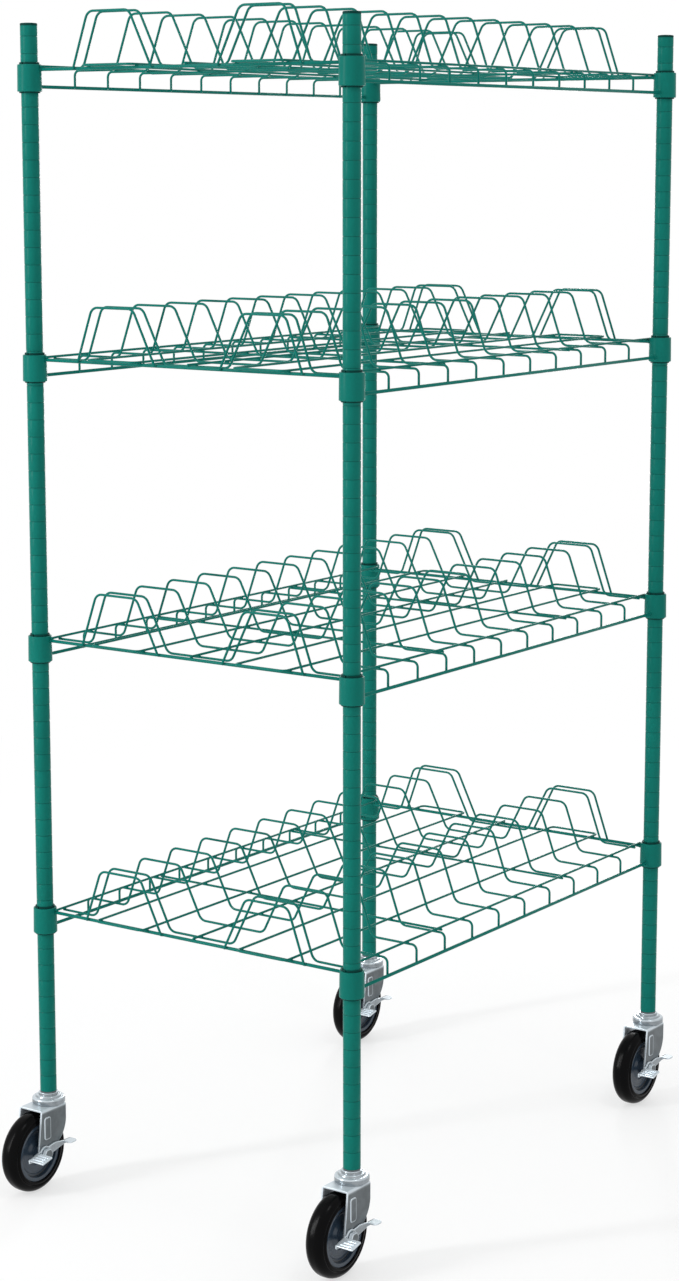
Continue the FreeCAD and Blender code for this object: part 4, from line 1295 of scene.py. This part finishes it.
class RACK_OT_stage(bpy.types.Operator):
    """Floor, world light, lamps and camera"""
    bl_idname = "rack.stage"
    bl_label = "Stage"

    def seen(self, start):
        """One for camera, glossy and transmission rays, else zero."""
        camera, glossy, passing = (start.node("ShaderNodeLightPath", None, None, "Is %s Ray" % kind)
                                   for kind in ("Camera", "Glossy", "Transmission"))
        return start.math("MAXIMUM", start.math("MAXIMUM", camera, glossy), passing)

    def floor(self, colours, studio):
        """Large flat floor whose colour fades into white away from the rack."""
        reach = FLOOR_REACH
        corners = [(-reach, -reach, 0), (reach, -reach, 0), (reach, reach, 0), (-reach, reach, 0)]
        mesh = bpy.data.meshes.new("studio_floor")
        mesh.from_pydata(corners, [], [(0, 1, 2, 3)])
        material = bpy.data.materials.new("studio_floor_finish")
        tree = fresh_tree(material)
        start = Shade(tree)
        distance = start.node("ShaderNodeVectorMath", {"operation": "LENGTH"}, {0: place_on(tree)}, "Value")
        lift = studio.floor_glow + distance.above(FADE_START, FADE_WIDTH) * (1 - studio.floor_glow)
        matt = start.node("ShaderNodeBsdfDiffuse", None, {"Color": tone(colours.floor)})
        white = start.node("ShaderNodeEmission", None, {"Color": WHITE, "Strength": 1.0})
        shader = start.node("ShaderNodeMixShader", None, {0: lift * self.seen(start), 1: matt, 2: white})
        start.node("ShaderNodeOutputMaterial", None, {"Surface": shader})
        mesh.materials.append(material)
        floor = linked("studio_floor", mesh)

    def world(self, studio):
        """White where it is seen, and an even light of the sky strength elsewhere."""
        world = bpy.data.worlds.new("studio_world")
        bpy.context.scene.world = world
        start = Shade(fresh_tree(world))
        strength = studio.sky + self.seen(start) * (1 - studio.sky)
        shader = start.node("ShaderNodeBackground", None, {"Color": WHITE, "Strength": strength})
        start.node("ShaderNodeOutputWorld", None, {"Surface": shader})

    def lamp(self, name, place, target, size, power):
        """Rectangular soft lamp, size wide and high, that looks from its place to a target."""
        light = bpy.data.lights.new(name, "AREA")
        light.shape = "RECTANGLE"
        light.size, light.size_y = size
        light.energy = power
        lamp = linked(name, light)
        way = unit(np.subtract(target, place))
        lamp.location = place
        lamp.visible_camera = False
        lamp.rotation_euler = (math.acos(-way[2]), 0.0, math.atan2(-way[0], way[1]))

    def camera(self, studio):
        """Camera at the fitted viewpoint."""
        data = bpy.data.cameras.new("studio_camera")
        data.lens = studio.lens
        data.shift_x, data.shift_y = studio.camera_shift
        camera = linked("studio_camera", data)
        camera.location = studio.camera_place
        camera.rotation_euler = studio.camera_turn
        bpy.context.scene.camera = camera

    def execute(self, context):
        studio = context.scene.rack_studio
        self.floor(context.scene.rack_colours, studio)
        self.world(studio)
        for name, (place, target, size) in LAMPS.items():
            self.lamp(name + "_lamp", place, target, size, getattr(studio, name))
        self.camera(studio)
        context.scene.view_settings.view_transform = "Standard"
        return {"FINISHED"}


# Add-on

GROUPS = {
    "rack_posts": RackPostSizes,
    "rack_wires": RackWireSizes,
    "rack_casters": RackCasterSizes,
    "rack_colours": RackColours,
    "rack_studio": RackStudio,
}
OPERATORS = (RACK_OT_posts, RACK_OT_collars, RACK_OT_shelf_wires, RACK_OT_welds, RACK_OT_swivels,
             RACK_OT_forks, RACK_OT_axles, RACK_OT_wheels, RACK_OT_brakes, RACK_OT_hidden_steel,
             RACK_OT_stage)


class RACK_PT_sidebar(bpy.types.Panel):
    """Sizes, colours and pieces of the drying rack"""
    bl_idname = "RACK_PT_sidebar"
    bl_label = "Drying Rack"
    bl_space_type = "VIEW_3D"
    bl_region_type = "UI"
    bl_category = "Drying Rack"

    def draw(self, context):
        for name, group in GROUPS.items():
            box = self.layout.box()
            for value in group.__annotations__:
                box.prop(getattr(context.scene, name), value)
        for operator in OPERATORS:
            self.layout.operator(operator.bl_idname)


def register():
    for name, group in GROUPS.items():
        bpy.utils.register_class(group)
        setattr(bpy.types.Scene, name, PointerProperty(type=group))
    for operator in OPERATORS:
        bpy.utils.register_class(operator)
    bpy.utils.register_class(RACK_PT_sidebar)


def unregister():
    bpy.utils.unregister_class(RACK_PT_sidebar)
    for operator in reversed(OPERATORS):
        bpy.utils.unregister_class(operator)
    for name, group in GROUPS.items():
        delattr(bpy.types.Scene, name)
        bpy.utils.unregister_class(group)


def main():
    register()
    for operator in OPERATORS:
        family, name = operator.bl_idname.split(".")
        getattr(getattr(bpy.ops, family), name)()


if __name__ == "__main__":
    main()
